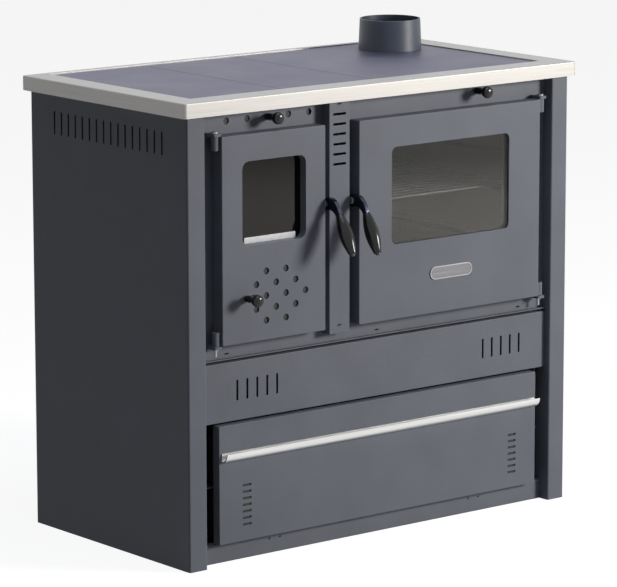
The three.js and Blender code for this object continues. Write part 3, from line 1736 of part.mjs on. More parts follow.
// rows of two, three, four, three and two holes; the knob stands in the first place of the middle row
const airHoles = [
  [-1, 1],
  [-2, 0, 2],
  [-1, 1, 3],
  [-2, 0, 2],
  [-1, 1],
].flatMap((row, i) =>
  row.map((k) => [airX + k * AIR_PITCH, airZ + (i - 2) * AIR_PITCH]),
);
const airKnobX = airX - 3 * AIR_PITCH;
const fireGlassY0 = doorY + FIRE_WINDOW_DEPTH;
const airSlideY0 = doorY + DOOR_SHEET + SEAT_GAP;
const airSlideY1 = airSlideY0 + AIR_SLIDE_SHEET;
const airGuides = [-1, 1].map((side) => {
  const edge = AIR_SLIDE_HALF_HEIGHT + 2 * SEAT_GAP;
  return sidePiece(
    outline(
      [
        [doorY + DOOR_SHEET - 1, edge],
        [airSlideY1 + SEAT_GAP, edge],
        [airSlideY1 + SEAT_GAP, edge - SLIDE_GUIDE_HOLD],
        [airSlideY1 + SEAT_GAP + 1.5, edge - SLIDE_GUIDE_HOLD],
        [airSlideY1 + SEAT_GAP + 1.5, edge + SLIDE_GUIDE],
        [doorY + DOOR_SHEET - 1, edge + SLIDE_GUIDE],
      ].map(([y, z]) => [y, airZ + side * z]),
    ),
    fireX0 + DOOR_SHEET + 4,
    fireX1 - DOOR_SHEET - 4,
  );
});
const windowAt = ([x0, x1], [z0, z1], grow, radius) =>
  roundedRect(x0 - grow, x1 + grow, z0 - grow, z1 + grow, radius + grow);
addPart(
  fireDoor,
  "fire_door_skin",
  cut(
    join(
      doorSkin(fireX0, fireX1, -1, fireAxisX),
      frontPiece(
        windowAt(fireWindow, fireWindowZ, DOOR_SHEET, FIRE_WINDOW_CORNER),
        doorY + DOOR_SHEET - 0.5,
        fireGlassY0 - SEAT_GAP,
      ),
      ...airGuides,
    ),
    frontPiece(
      windowAt(fireWindow, fireWindowZ, 0, FIRE_WINDOW_CORNER),
      doorY - 5,
      fireGlassY0 + 5,
    ),
    frontPiece(
      [
        ...airHoles.map(([x, z]) => circle(x, z, AIR_HOLE_RADIUS)),
        slot(airKnobX, airKnobX + AIR_PITCH, airZ, STEM_SLOT_RADIUS),
      ],
      doorY - 5,
      doorY + DOOR_SHEET + 1,
    ),
  ),
  PAINT,
);
const fireLiner = linerShape(fireX0, fireX1);
fireLiner.holes = [
  windowAt(fireWindow, fireWindowZ, 2, FIRE_WINDOW_CORNER),
  roundedRect(
    airX - 3 * AIR_PITCH - 5,
    airX + 3 * AIR_PITCH,
    airZ - 2.3 * AIR_PITCH,
    airZ + 2.3 * AIR_PITCH,
    6,
    2,
  ),
];
addPart(
  fireDoor,
  "fire_door_liner",
  frontPiece(fireLiner, linerY0, linerY1),
  IRON,
);
addPart(
  fireDoor,
  "fire_door_glass",
  frontPiece(
    windowAt(fireWindow, fireWindowZ, GLASS_LAP, 0.001),
    fireGlassY0,
    linerY0 - SEAT_GAP,
  ),
  GLASS,
);
addPart(
  fireDoor,
  "fire_glass_ledge",
  block(
    fireWindow[0] + FIRE_WINDOW_CORNER,
    fireWindow[1] - FIRE_WINDOW_CORNER,
    fireGlassY0 - SEAT_GAP - GLASS_LEDGE_THICKNESS,
    fireGlassY0 - SEAT_GAP,
    fireWindowZ[0] + SEAT_GAP,
    fireWindowZ[0] + GLASS_LEDGE_HEIGHT,
  ),
  ZINC,
);
addPart(fireDoor, "fire_door_seal", sealRing(fireX0, fireX1), ROPE);

const airSlide = rect(
  airX - AIR_SLIDE_LEFT,
  airX + AIR_SLIDE_RIGHT,
  airZ - AIR_SLIDE_HALF_HEIGHT,
  airZ + AIR_SLIDE_HALF_HEIGHT,
);
airSlide.holes = airHoles.map(([x, z]) =>
  circle(x - AIR_PITCH, z, AIR_HOLE_RADIUS),
);
addPart(
  fireDoor,
  "primary_air_slide",
  frontPiece(airSlide, airSlideY0, airSlideY1),
  ZINC,
);
addKnob(
  fireDoor,
  "primary_air_knob",
  airSlideY0 - SEAT_GAP - (doorY - SEAT_GAP),
  airKnobX,
  doorY - SEAT_GAP,
  airZ,
);
latch(fireDoor, "fire", fireX1, 1, 0);
hingePins(cabinet, "fire", fireAxisX);

// ---- oven door
const ovenWindow = [
  ovenX0 + OVEN_WINDOW_INSET,
  ovenX0 + OVEN_WINDOW_INSET + OVEN_WINDOW_WIDTH,
];
const ovenWindowZ = [
  doorZ + OVEN_WINDOW_SILL,
  doorZ + OVEN_WINDOW_SILL + OVEN_WINDOW_HEIGHT,
];
const ovenGlassY0 = doorY + DOOR_SHEET + SEAT_GAP;
const ovenGlassY1 = ovenGlassY0 + GLASS_THICKNESS;
addPart(
  ovenDoor,
  "oven_door_skin",
  cut(
    doorSkin(ovenX0, ovenX1, 1, ovenAxisX),
    frontPiece(
      windowAt(ovenWindow, ovenWindowZ, 0, OVEN_WINDOW_CORNER),
      doorY - 5,
      doorY + DOOR_SHEET + 1,
    ),
  ),
  PAINT,
);
const ovenLiner = linerShape(ovenX0, ovenX1);
ovenLiner.holes = [windowAt(ovenWindow, ovenWindowZ, 2, OVEN_WINDOW_CORNER)];
const ovenLinerCollar = windowAt(
  ovenWindow,
  ovenWindowZ,
  2 + LINER_SHEET,
  OVEN_WINDOW_CORNER,
);
ovenLinerCollar.holes = [windowAt(ovenWindow, ovenWindowZ, 2, OVEN_WINDOW_CORNER)];
addPart(
  ovenDoor,
  "oven_door_liner",
  join(
    frontPiece(ovenLiner, linerY0, linerY1),
    frontPiece(ovenLinerCollar, ovenGlassY1 + SEAT_GAP, linerY0 + 1),
  ),
  ZINC,
);
addPart(
  ovenDoor,
  "oven_door_glass",
  frontPiece(
    windowAt(ovenWindow, ovenWindowZ, GLASS_LAP, 0.001),
    ovenGlassY0,
    ovenGlassY1,
  ),
  GLASS,
);
addPart(ovenDoor, "oven_door_seal", sealRing(ovenX0, ovenX1), ROPE);

// An oval plate with a raised rim. It is left blank.
const badgeX = (ovenX0 + ovenX1) / 2;
const badgeZ = doorZ + BADGE_RISE;
const badgeAt = (inset) =>
  roundedRect(
    badgeX - BADGE_WIDTH / 2 + inset,
    badgeX + BADGE_WIDTH / 2 - inset,
    badgeZ - BADGE_HEIGHT / 2 + inset,
    badgeZ + BADGE_HEIGHT / 2 - inset,
    BADGE_HEIGHT / 2 - inset - 0.001,
    8,
  );
const badgeBack = doorY - SEAT_GAP;
const badgeRim = badgeAt(0);
badgeRim.holes = [badgeAt(BADGE_RIM)];
addPart(
  ovenDoor,
  "oven_door_badge",
  join(
    frontPiece(badgeAt(0), badgeBack - BADGE_THICKNESS, badgeBack),
    frontPiece(
      badgeRim,
      badgeBack - BADGE_THICKNESS - BADGE_RIM_HEIGHT,
      badgeBack - BADGE_THICKNESS + 0.2,
    ),
  ),
  STAINLESS,
);
latch(ovenDoor, "oven", ovenX0, -1, OVEN_ARM_DROOP);
hingePins(cabinet, "oven", ovenAxisX);

// ================================================================ drawer
const drawerHalf = DRAWER_FRONT_WIDTH / 2;
const drawerBackY = drawerY + DRAWER_FRONT_DEPTH;
addPart(
  drawer,
  "drawer_front",
  cut(
    panel(
      -drawerHalf,
      drawerHalf,
      drawerZ,
      drawerZ + DRAWER_HEIGHT,
      drawerY,
      drawerBackY,
      DRAWER_FRONT_SHEET,
      1.4,
    ),
    frontPiece(
      [DRAWER_LEFT_SLOT_X, DRAWER_RIGHT_SLOT_X].flatMap((x) =>
        Array.from({ length: DRAWER_SLOT_COUNT }, (_, k) => {
          const z = drawerZ + DRAWER_SLOT_RISE + k * DRAWER_SLOT_PITCH;
          return rect(
            x - DRAWER_SLOT_WIDTH / 2,
            x + DRAWER_SLOT_WIDTH / 2,
            z - DRAWER_SLOT_HEIGHT / 2,
            z + DRAWER_SLOT_HEIGHT / 2,
          );
        }),
      ),
      drawerY - 5,
      drawerY + 5,
    ),
  ),
  PAINT,
);

const boxFront = drawerY + DRAWER_FRONT_SHEET + SEAT_GAP; // the front is screwed to the box
const boxZ = PLINTH_HEIGHT + DRAWER_BOX_RISE;
const runnerHalf = shellInner - SEAT_GAP; // outer face of a runner
const slideZ = RUNNER_Z + RUNNER_SHEET + SEAT_GAP;
addPart(
  drawer,
  "drawer_box",
  join(
    cut(
      block(
        -DRAWER_BOX_HALF,
        DRAWER_BOX_HALF,
        boxFront,
        DRAWER_BOX_BACK,
        boxZ,
        boxZ + DRAWER_BOX_HEIGHT,
      ),
      block(
        -DRAWER_BOX_HALF + DRAWER_BOX_SHEET,
        DRAWER_BOX_HALF - DRAWER_BOX_SHEET,
        boxFront + DRAWER_BOX_SHEET,
        DRAWER_BOX_BACK - DRAWER_BOX_SHEET,
        boxZ + DRAWER_BOX_SHEET,
        boxZ + DRAWER_BOX_HEIGHT + 1,
      ),
    ),
    ...[-1, 1].map((side) =>
      block(
        Math.min(side * (DRAWER_BOX_HALF - 1), side * (runnerHalf - RUNNER_SHEET - 1)),
        Math.max(side * (DRAWER_BOX_HALF - 1), side * (runnerHalf - RUNNER_SHEET - 1)),
        drawerBackY + SEAT_GAP,
        DRAWER_BOX_BACK,
        slideZ,
        slideZ + RUNNER_SLIDE_HEIGHT,
      ),
    ),
  ),
  ZINC,
);

// The handle is a rail of J-shaped section with a channel for the fingers, open at its top.
const railY = drawerY - SEAT_GAP;
const railTop = drawerZ + RAIL_RISE + RAIL_HEIGHT;
const railCurve = (inset, from) =>
  Array.from({ length: 9 }, (_, k) => {
    const angle = from + ((Math.PI / 2 - from) * k) / 8;
    return [
      railY - (RAIL_PROUD - inset) * Math.sin(angle),
      railTop - (RAIL_HEIGHT - inset) * Math.cos(angle),
    ];
  });
const railStart = Math.asin(RAIL_SHEET / (RAIL_PROUD - RAIL_SHEET));
addPart(
  drawer,
  "drawer_rail_handle",
  sidePiece(
    outline([
      ...railCurve(0, 0),
      ...railCurve(RAIL_SHEET, railStart).reverse(),
      [railY - RAIL_SHEET, railTop - RAIL_HEIGHT + RAIL_FLANGE],
      [railY, railTop - RAIL_HEIGHT + RAIL_FLANGE],
    ]),
    -RAIL_HALF_LENGTH,
    RAIL_HALF_LENGTH,
  ),
  RAIL_METAL,
);

for (const [side, name] of [
  [-1, "drawer_runner_left"],
  [1, "drawer_runner_right"],
]) {
  const top = slideZ + RUNNER_SLIDE_HEIGHT + 0.4;
  addPart(
    cabinet,
    name,
    frontPiece(
      outline(
        [
          [runnerHalf, RUNNER_Z],
          [runnerHalf, top + RUNNER_SHEET],
          [runnerHalf - RUNNER_REACH, top + RUNNER_SHEET],
          [runnerHalf - RUNNER_REACH, top],
          [runnerHalf - RUNNER_SHEET, top],
          [runnerHalf - RUNNER_SHEET, RUNNER_Z + RUNNER_SHEET],
          [runnerHalf - RUNNER_REACH, RUNNER_Z + RUNNER_SHEET],
          [runnerHalf - RUNNER_REACH, RUNNER_Z],
        ].map(([x, z]) => [side * x, z]),
      ),
      RUNNER_FRONT_Y,
      RUNNER_BACK_Y,
    ),
    ZINC,
  );
}

export default cooker;
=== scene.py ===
# %% [markdown]
# # A wood cookstove, finished around its solid model
#
# The cooker's plates, doors, drawer and inner box arrive as a fixed frame with
# their true sizes. This lesson gives each of them the finish of the real one and
# adds the small pieces that a drawing of the big ones leaves out: screws, rivets,
# cap nuts, turned knobs and the wires beside the oven's rack. Lengths are in
# metres, and the cooker faces along -Y with its firebox on the left.

import json
import math

import bpy
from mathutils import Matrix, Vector

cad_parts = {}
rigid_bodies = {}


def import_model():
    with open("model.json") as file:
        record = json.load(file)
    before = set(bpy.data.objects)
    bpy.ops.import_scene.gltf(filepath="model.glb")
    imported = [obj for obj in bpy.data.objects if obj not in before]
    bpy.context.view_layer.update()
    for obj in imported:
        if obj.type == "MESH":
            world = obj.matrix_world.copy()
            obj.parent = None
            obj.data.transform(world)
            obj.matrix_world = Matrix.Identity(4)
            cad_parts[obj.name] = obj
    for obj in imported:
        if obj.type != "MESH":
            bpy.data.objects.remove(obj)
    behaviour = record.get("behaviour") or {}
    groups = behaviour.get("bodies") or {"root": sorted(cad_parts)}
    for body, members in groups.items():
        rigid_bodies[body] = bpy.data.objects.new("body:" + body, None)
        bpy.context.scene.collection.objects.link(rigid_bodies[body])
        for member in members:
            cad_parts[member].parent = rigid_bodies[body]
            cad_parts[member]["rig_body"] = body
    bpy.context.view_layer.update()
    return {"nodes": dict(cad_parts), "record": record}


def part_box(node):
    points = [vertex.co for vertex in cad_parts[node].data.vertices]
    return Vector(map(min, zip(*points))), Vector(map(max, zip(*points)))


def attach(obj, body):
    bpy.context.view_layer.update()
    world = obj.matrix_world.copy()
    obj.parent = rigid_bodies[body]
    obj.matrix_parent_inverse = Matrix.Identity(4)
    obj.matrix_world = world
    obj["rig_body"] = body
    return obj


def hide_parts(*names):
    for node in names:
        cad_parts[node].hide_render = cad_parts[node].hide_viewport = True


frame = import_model()

# %% [markdown]
# An operator acts on everything that is selected, so each job starts with empty
# hands and takes up one piece. When a piece is finished, its place goes into its
# mesh and its own origin stays at the middle of the floor, as the frame's pieces
# have it. Then a pattern that is measured from the origin lies still on it.

# %% Take up a piece, and put it down
MM = 0.001
SMOOTH_BELOW = 40  # degrees between two faces, above which an edge stays sharp


def put_down():
    if bpy.context.mode != "OBJECT":
        bpy.ops.object.mode_set(mode="OBJECT")
    bpy.ops.object.select_all(action="DESELECT")


def take(piece):
    put_down()
    piece.select_set(True)
    bpy.context.view_layer.objects.active = piece
    return piece


def edit(piece):
    take(piece)
    bpy.ops.object.mode_set(mode="EDIT")
    bpy.ops.mesh.select_all(action="SELECT")


def rounded_look(piece):
    """Shade the bends smooth, with broad flats left flat."""
    take(piece)
    bpy.ops.object.shade_smooth_by_angle(angle=math.radians(SMOOTH_BELOW))
    weighted = piece.modifiers.new("even_flats", "WEIGHTED_NORMAL")
    weighted.keep_sharp = True
    bpy.ops.object.modifier_apply(modifier=weighted.name)


def fasten(piece, name, body, finish):
    """Name, place, finish and body of a new piece."""
    take(piece)
    bpy.ops.object.transform_apply(location=True, rotation=True, scale=True)
    piece.name = piece.data.name = name
    piece.data.materials.clear()
    piece.data.materials.append(finish)
    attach(piece, body)
    put_down()


# %% [markdown]
# ## Finishes
#
# A colour is written as sRGB and turned to linear light by one function, and one
# function adds a node with its settings and its links. Every finish starts from
# the same three nodes: the surface shader, the output and the piece's own
# coordinates, in which one unit is a metre. So the scale of a pattern is how many
# of its grains or streaks lie in a metre.


# %% Colour and nodes
def linear(hex_colour):
    values = [int(hex_colour[i : i + 2], 16) / 255 for i in (1, 3, 5)]
    return [v / 12.92 if v <= 0.04045 else ((v + 0.055) / 1.055) ** 2.4 for v in values] + [1]


def add(tree, kind, inputs, stops=(), **settings):
    """A node with its inputs and settings; stops are the two (place, sRGB) of a ramp."""
    node = tree.nodes.new("ShaderNode" + kind)
    for name, value in settings.items():
        setattr(node, name, value)
    for name, value in inputs.items():
        if isinstance(value, bpy.types.NodeSocket):
            tree.links.new(value, node.inputs[name])
        else:
            node.inputs[name].default_value = value
    for number, (at, hex_colour) in enumerate(stops):
        node.color_ramp.elements[number].position = at
        node.color_ramp.elements[number].color = linear(hex_colour)
    return node


def emptied(owner):
    """The node tree of a new material or world, with nothing in it yet."""
    owner.use_nodes = True
    owner.node_tree.nodes.clear()
    return owner.node_tree


def finish(name, **surface):
    """A new material: its tree, its shader and the piece's own coordinates."""
    made = bpy.data.materials.new(name)
    tree = emptied(made)
    shader = add(tree, "BsdfPrincipled", {k.replace("_", " "): v for k, v in surface.items()})
    add(tree, "OutputMaterial", {"Surface": shader.outputs[0]})
    place = add(tree, "TexCoord", {}).outputs["Object"]
    return made, tree, shader, place


def feed(tree, shader, **sources):
    """Join each source to the socket of that name."""
    for name, source in sources.items():
        tree.links.new(source, shader.inputs[name.replace("_", " ")])


# %% [markdown]
# ### Powder-coated sheet
#
# The cabinet, the doors and the drawer are folded steel sheet with a baked powder
# coat in anthracite. It is satin: a broad soft sheen and no mirror. Close to, it
# has the faint orange peel of melted powder, about 2 mm from crest to crest, and
# over a hand's breadth the coat is a shade thicker here and thinner there.

# %% Powder coat
COAT_CLOUDS, COAT_GRAINS, COAT_CRESTS = 9, 650, 480  # in a metre
CREST_HEIGHT = 0.0003


def powder_coat(name, thin, thick):
    made, tree, shader, place = finish(name, Roughness=0.5, Specular_IOR_Level=0.2)
    cloud = add(tree, "TexNoise", {"Vector": place, "Scale": COAT_CLOUDS, "Detail": 3.0})
    grain = add(tree, "TexNoise", {"Vector": place, "Scale": COAT_GRAINS, "Detail": 2.0})
    peel = add(tree, "TexNoise", {"Vector": place, "Scale": COAT_CRESTS, "Detail": 1.0})
    both = add(
        tree, "Math", {0: cloud.outputs["Fac"], 1: grain.outputs["Fac"]}, operation="MULTIPLY"
    )
    colour = add(tree, "ValToRGB", {"Fac": both.outputs[0]}, ((0.15, thin), (0.36, thick)))
    bump = add(
        tree,
        "Bump",
        {"Height": peel.outputs["Fac"], "Strength": 0.12, "Distance": CREST_HEIGHT},
    )
    feed(tree, shader, Base_Color=colour.outputs["Color"], Normal=bump.outputs["Normal"])
    return made


anthracite = powder_coat("powder_coat_anthracite", "#6b7079", "#737882")

# %% [markdown]
# ### Brushed and ground steel
#
# The rim of the hob is stainless sheet, brushed with a belt. The belt leaves fine
# grooves all one way, so the light streaks across them. Real grooves are a few
# hundredths of a millimetre apart, too fine to show from here, so they are drawn
# about a millimetre apart. On the two ends of the rim they run from front to back.
# The same recipe with shorter streaks gives the duller steels. Where a room that
# is white all round would bleach a metal, its metallic share is lowered.

# %% Brushed metal
STREAKS_ACROSS = 1200  # side by side in a metre
GROOVE_DEPTH = 0.0002
END_FACING = 0.7  # a face turned further than this to the side is an end


def brushed(name, dark, light, lengthwise, roughness, metallic=1.0, strength=0.25):
    """lengthwise is how many streaks lie end to end in a metre."""
    made, tree, shader, place = finish(name, Metallic=metallic)
    along_x = (lengthwise, STREAKS_ACROSS, STREAKS_ACROSS)
    along_y = (STREAKS_ACROSS, lengthwise, STREAKS_ACROSS)
    grooves = []
    for scale in (along_x, along_y):
        way = add(tree, "Mapping", {"Vector": place, "Scale": scale})
        noise = add(
            tree, "TexNoise", {"Vector": way.outputs[0], "Scale": 1.0, "Detail": 3.0}
        )
        grooves.append(noise.outputs["Fac"])
    facing = add(tree, "SeparateXYZ", {0: add(tree, "TexCoord", {}).outputs["Normal"]})
    sideways = add(tree, "Math", {0: facing.outputs["X"]}, operation="ABSOLUTE")
    is_end = add(
        tree, "Math", {0: sideways.outputs[0], 1: END_FACING}, operation="GREATER_THAN"
    )
    groove = add(tree, "Mix", {0: is_end.outputs[0], 2: grooves[0], 3: grooves[1]})
    colour = add(tree, "ValToRGB", {"Fac": groove.outputs[0]}, ((0.3, dark), (0.7, light)))
    uneven = add(
        tree,
        "MapRange",
        {0: groove.outputs[0], 1: 0.2, 2: 0.8, 3: roughness - 0.05, 4: roughness + 0.08},
    )
    bump = add(
        tree,
        "Bump",
        {"Height": groove.outputs[0], "Strength": strength, "Distance": GROOVE_DEPTH},
    )
    feed(
        tree,
        shader,
        Base_Color=colour.outputs["Color"],
        Roughness=uneven.outputs[0],
        Normal=bump.outputs["Normal"],
    )
    return made


# the rim: long pale streaks
stainless = brushed("stainless_brushed", "#b9b8b4", "#cbc9c5", 6, 0.38, metallic=0.3)
# the rack's wires, darkened as painted shade of the oven's dim inside
rack_wire_shade_dark = brushed("rack_wire_painted_shade", "#4c4c4e", "#626264", 60, 0.4)
# the sunk field of the badge, darker than its rim
badge_field = brushed("badge_field_brushed", "#6d6e73", "#8b8c91", 12, 0.35, metallic=0.5)
# the drawer's rail: drawn aluminium, the palest metal here
rail_metal = brushed("aluminium_brushed", "#cfcfcd", "#e6e6e4", 5, 0.36)
# plated small parts: a cool grey with short streaks, hardly a mirror
zinc = brushed("steel_zinc_plated", "#8c8e91", "#a3a5a8", 90, 0.42)
# the oven's lining: baked to straw colour and polished, so its walls mirror the rack
enamel = brushed(
    "oven_lining_polished", "#b5aa8e", "#c6bb9f", 20, 0.12, metallic=0.6, strength=0.0
)

# %% [markdown]
# ### The cooking plates
#
# The hob is plate steel, ground flat and oiled. It is darker than the rim, and its
# colour is tinted a little blue as a painted reflection of the sky, with grinding
# marks from side to side and paler clouds where the oil has dried.

# %% Ground steel plate
MARKS_ALONG, MARKS_ACROSS, OIL_CLOUDS = 14, 700, 7  # in a metre


def ground_plate(name, dark, light):
    made, tree, shader, place = finish(name, Metallic=0.75)
    marks = add(
        tree, "Mapping", {"Vector": place, "Scale": (MARKS_ALONG, MARKS_ACROSS, MARKS_ACROSS)}
    )
    groove = add(tree, "TexNoise", {"Vector": marks.outputs[0], "Scale": 1.0, "Detail": 2.0})
    cloud = add(tree, "TexNoise", {"Vector": place, "Scale": OIL_CLOUDS, "Detail": 4.0})
    mixed = add(tree, "Mix", {0: 0.35, 2: cloud.outputs["Fac"], 3: groove.outputs["Fac"]})
    colour = add(tree, "ValToRGB", {"Fac": mixed.outputs[0]}, ((0.3, dark), (0.7, light)))
    dull = add(tree, "MapRange", {0: cloud.outputs["Fac"], 1: 0.3, 2: 0.7, 3: 0.42, 4: 0.55})
    bump = add(
        tree,
        "Bump",
        {"Height": groove.outputs["Fac"], "Strength": 0.2, "Distance": GROOVE_DEPTH},
    )
    feed(
        tree,
        shader,
        Base_Color=colour.outputs["Color"],
        Roughness=dull.outputs[0],
        Normal=bump.outputs["Normal"],
    )
    return made


# the bluish colour is a painted reflection of the sky over the hob
hob_steel = ground_plate("steel_ground_plate_sky_tinted", "#565668", "#66667c")

# %% [markdown]
# ### Iron, stove paint and fireclay
#
# Cast iron keeps the grain of the sand it was poured in, about 1.5 mm. The flue
# collar has dark heat-proof paint with a low sheen. Fireclay is pressed and fired:
# buff, with dark specks and pits. The screw heads are dark steel. The air slides
# and the drawer's box are coloured near black as painted shade, for they are seen
# only in the dark behind holes and slots. All come from one recipe of a cloud, a
# grain and a bump.

# %% Grained surfaces
GRIME_CLOUDS = 14  # in a metre


def grained(name, dark, light, grain_mm, roughness, depth_mm, specular=0.4):
    made, tree, shader, place = finish(name, Roughness=roughness, Specular_IOR_Level=specular)
    grain = add(tree, "TexNoise", {"Vector": place, "Scale": 1000 / grain_mm, "Detail": 3.0})
    cloud = add(tree, "TexNoise", {"Vector": place, "Scale": GRIME_CLOUDS, "Detail": 4.0})
    mixed = add(tree, "Mix", {0: 0.5, 2: cloud.outputs["Fac"], 3: grain.outputs["Fac"]})
    colour = add(tree, "ValToRGB", {"Fac": mixed.outputs[0]}, ((0.35, dark), (0.65, light)))
    bump = add(
        tree,
        "Bump",
        {"Height": grain.outputs["Fac"], "Strength": 0.5, "Distance": depth_mm * MM},
    )
    feed(tree, shader, Base_Color=colour.outputs["Color"], Normal=bump.outputs["Normal"])
    return made


cast_iron = grained("iron_cast", "#2b2c2e", "#3a3b3d", 1.5, 0.7, 0.4)
stove_paint = grained("stove_paint_black", "#313846", "#3d4452", 1.2, 0.42, 0.1, 0.6)
fireclay = grained("fireclay_pressed", "#a08a68", "#c2ab85", 3.0, 0.9, 0.6, 0.2)
# near black: painted shade on the air slides and the drawer's box, and dark steel on the screw
# heads
dark_steel_and_shade = grained("steel_dark_and_painted_shade", "#1b1c1f", "#26272a", 5.0, 0.55, 0.1)

# %% [markdown]
# ### Bakelite, polished levers and rope
#
# The knobs and grips are moulded bakelite, black and glossy. The levers are
# polished dark steel, coloured blue as painted sky light on their shaded sides.
# The door seals are woven from glass fibre: each strand crosses the rope
# slantwise, which a wave texture gives.

# %% Bakelite, blue-tinted steel and rope
SWIRLS, RUBBED_PATCHES, STRANDS = 60, 120, 110  # in a metre
STRAND_HEIGHT = 0.0008


def moulded(name, dark, light):
    made, tree, shader, place = finish(
        name,
        Roughness=0.16,
        Specular_IOR_Level=0.3,
        Coat_Weight=0.12,
        Coat_Roughness=0.04,
    )
    swirl = add(tree, "TexNoise", {"Vector": place, "Scale": SWIRLS, "Detail": 2.0})
    colour = add(tree, "ValToRGB", {"Fac": swirl.outputs["Fac"]}, ((0.3, dark), (0.7, light)))
    feed(tree, shader, Base_Color=colour.outputs["Color"])
    return made


def blue_tinted(name, dark, light):
    made, tree, shader, place = finish(name, Metallic=1.0)
    cloud = add(tree, "TexNoise", {"Vector": place, "Scale": RUBBED_PATCHES, "Detail": 3.0})
    colour = add(tree, "ValToRGB", {"Fac": cloud.outputs["Fac"]}, ((0.3, dark), (0.7, light)))
    rub = add(tree, "MapRange", {0: cloud.outputs["Fac"], 1: 0.3, 2: 0.7, 3: 0.14, 4: 0.24})
    feed(tree, shader, Base_Color=colour.outputs["Color"], Roughness=rub.outputs[0])
    return made


def woven(name, dark, light):
    made, tree, shader, place = finish(name, Roughness=0.95, Sheen_Weight=0.3)
    slanted = add(tree, "Mapping", {"Vector": place, "Rotation": (0.6, 0.785, 0.6)})
    strand = add(
        tree,
        "TexWave",
        {"Vector": slanted.outputs[0], "Scale": STRANDS, "Distortion": 1.5, "Detail": 2.0},
    )
    colour = add(
        tree, "ValToRGB", {"Fac": strand.outputs["Fac"]}, ((0.2, dark), (0.8, light))
    )
    bump = add(
        tree,
        "Bump",
        {"Height": strand.outputs["Fac"], "Strength": 0.8, "Distance": STRAND_HEIGHT},
    )
    feed(tree, shader, Base_Color=colour.outputs["Color"], Normal=bump.outputs["Normal"])
    return made


bakelite = moulded("bakelite_black", "#0e0f12", "#17181c")
# dark steel with a blue tint: painted sky light in the shade of the levers and cap nuts
sky_tinted_steel = blue_tinted("steel_polished_sky_tinted", "#3a3e4a", "#4d5261")
rope = woven("rope_glass_fibre", "#2c2a28", "#55514c")

# %% [markdown]
# ### The two windows
#
# Both panes are clear ceramic glass. The fire's pane is smoked brown inside, and
# the oven's is only dull. A pane is made as a clear sheet that tints what is seen
# through it, with a mirror over it that grows towards the edge-on view, as on
# real glass. A thin cloud of soot is mixed in.

# %% Glass
SOOT_CLOUDS = 12  # in a metre
PANE_IOR = 1.3  # lower than glass, because the white room mirrors so strongly


def window(name, tint, soot, soot_share):
    made = bpy.data.materials.new(name)
    tree = emptied(made)
    place = add(tree, "TexCoord", {}).outputs["Object"]
    clear = add(tree, "BsdfTransparent", {"Color": linear(tint)})
    film = add(tree, "BsdfDiffuse", {"Color": linear(soot)})
    cloud = add(tree, "TexNoise", {"Vector": place, "Scale": SOOT_CLOUDS, "Detail": 5.0})
    share = add(
        tree,
        "MapRange",
        {0: cloud.outputs["Fac"], 1: 0.3, 2: 0.7, 3: soot_share * 0.7, 4: soot_share},
    )
    pane = add(tree, "MixShader", {0: share.outputs[0], 1: clear.outputs[0], 2: film.outputs[0]})
    mirror = add(tree, "BsdfGlossy", {"Color": (1, 1, 1, 1), "Roughness": 0.02})
    edge_on = add(tree, "Fresnel", {"IOR": PANE_IOR})
    glass = add(
        tree, "MixShader", {0: edge_on.outputs[0], 1: pane.outputs[0], 2: mirror.outputs[0]}
    )
    add(tree, "OutputMaterial", {"Surface": glass.outputs[0]})
    return made


fire_glass = window("glass_fire_window", "#5c483e", "#241c1a", 0.6)
oven_glass = window("glass_oven_window", "#ececea", "#3a3a3c", 0.06)

# %% [markdown]
# ## Finishing the frame's own pieces
#
# Each piece of the frame gets the finish of its slot in the record, but for four
# pieces that are coloured darker than their slots as painted shade, for they are
# seen only in the dark behind slots, holes and the oven's window. Where its edges
# or bends catch the light, a copy takes its place: the copy's triangles are joined
# into whole faces first, because a bevel follows edges and would stop at every
# triangle. Folded sheet keeps its own folds and is only shaded smooth over them,
# and so do wires and pins. Blocks, panes and levers get a real small bevel.

# %% Which finish each slot has
finishes = {
    "paint": anthracite,
    "stainless": stainless,
    "hob_steel": hob_steel,
    "iron": cast_iron,
    "flue_paint": stove_paint,
    "zinc": zinc,
    "polished": sky_tinted_steel,
    "black_gloss": bakelite,
    "fire_glass": fire_glass,
    "oven_glass": oven_glass,
    "rope": rope,
    "fireclay": fireclay,
    "rail_metal": rail_metal,
    "enamel": enamel,
}
# darker finishes that paint the shade in which these four pieces lie
PAINTED_SHADE_FINISH = {
    "primary_air_slide": dark_steel_and_shade,
    "secondary_air_slide": dark_steel_and_shade,
    "drawer_box": dark_steel_and_shade,
    "oven_rack": rack_wire_shade_dark,
}
slot_of = {part["node"]: part["material_slot"] for part in frame["record"]["subparts"]}
body_of = {name: node["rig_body"] for name, node in frame["nodes"].items()}
for name, node in frame["nodes"].items():
    node.data.materials.clear()
    node.data.materials.append(PAINTED_SHADE_FINISH.get(name, finishes[slot_of[name]]))
print(len(slot_of), "pieces in", len(finishes), "finishes")


# %% A finished copy of a frame piece
SAME_POINT = 0.000004
ONE_FACE = math.radians(0.2)
BEVEL_ABOVE = math.radians(50)


def finished(node, bevel_mm=0.0):
    piece = bpy.data.objects.new(node + "_finished", frame["nodes"][node].data.copy())
    bpy.context.scene.collection.objects.link(piece)
    take(piece)
    bpy.ops.mesh.customdata_custom_splitnormals_clear()
    edit(piece)
    bpy.ops.mesh.remove_doubles(threshold=SAME_POINT)
    bpy.ops.mesh.dissolve_limited(angle_limit=ONE_FACE)
    put_down()
    if bevel_mm:
        take(piece)
        bevel = piece.modifiers.new("eased_edges", "BEVEL")
        bevel.width = bevel_mm * MM
        bevel.segments = 2
        bevel.limit_method = "ANGLE"
        bevel.angle_limit = BEVEL_ABOVE
        bpy.ops.object.modifier_apply(modifier=bevel.name)
    rounded_look(piece)
    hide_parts(node)
    look = PAINTED_SHADE_FINISH.get(node, finishes[slot_of[node]])
    fasten(piece, piece.name, body_of[node], look)


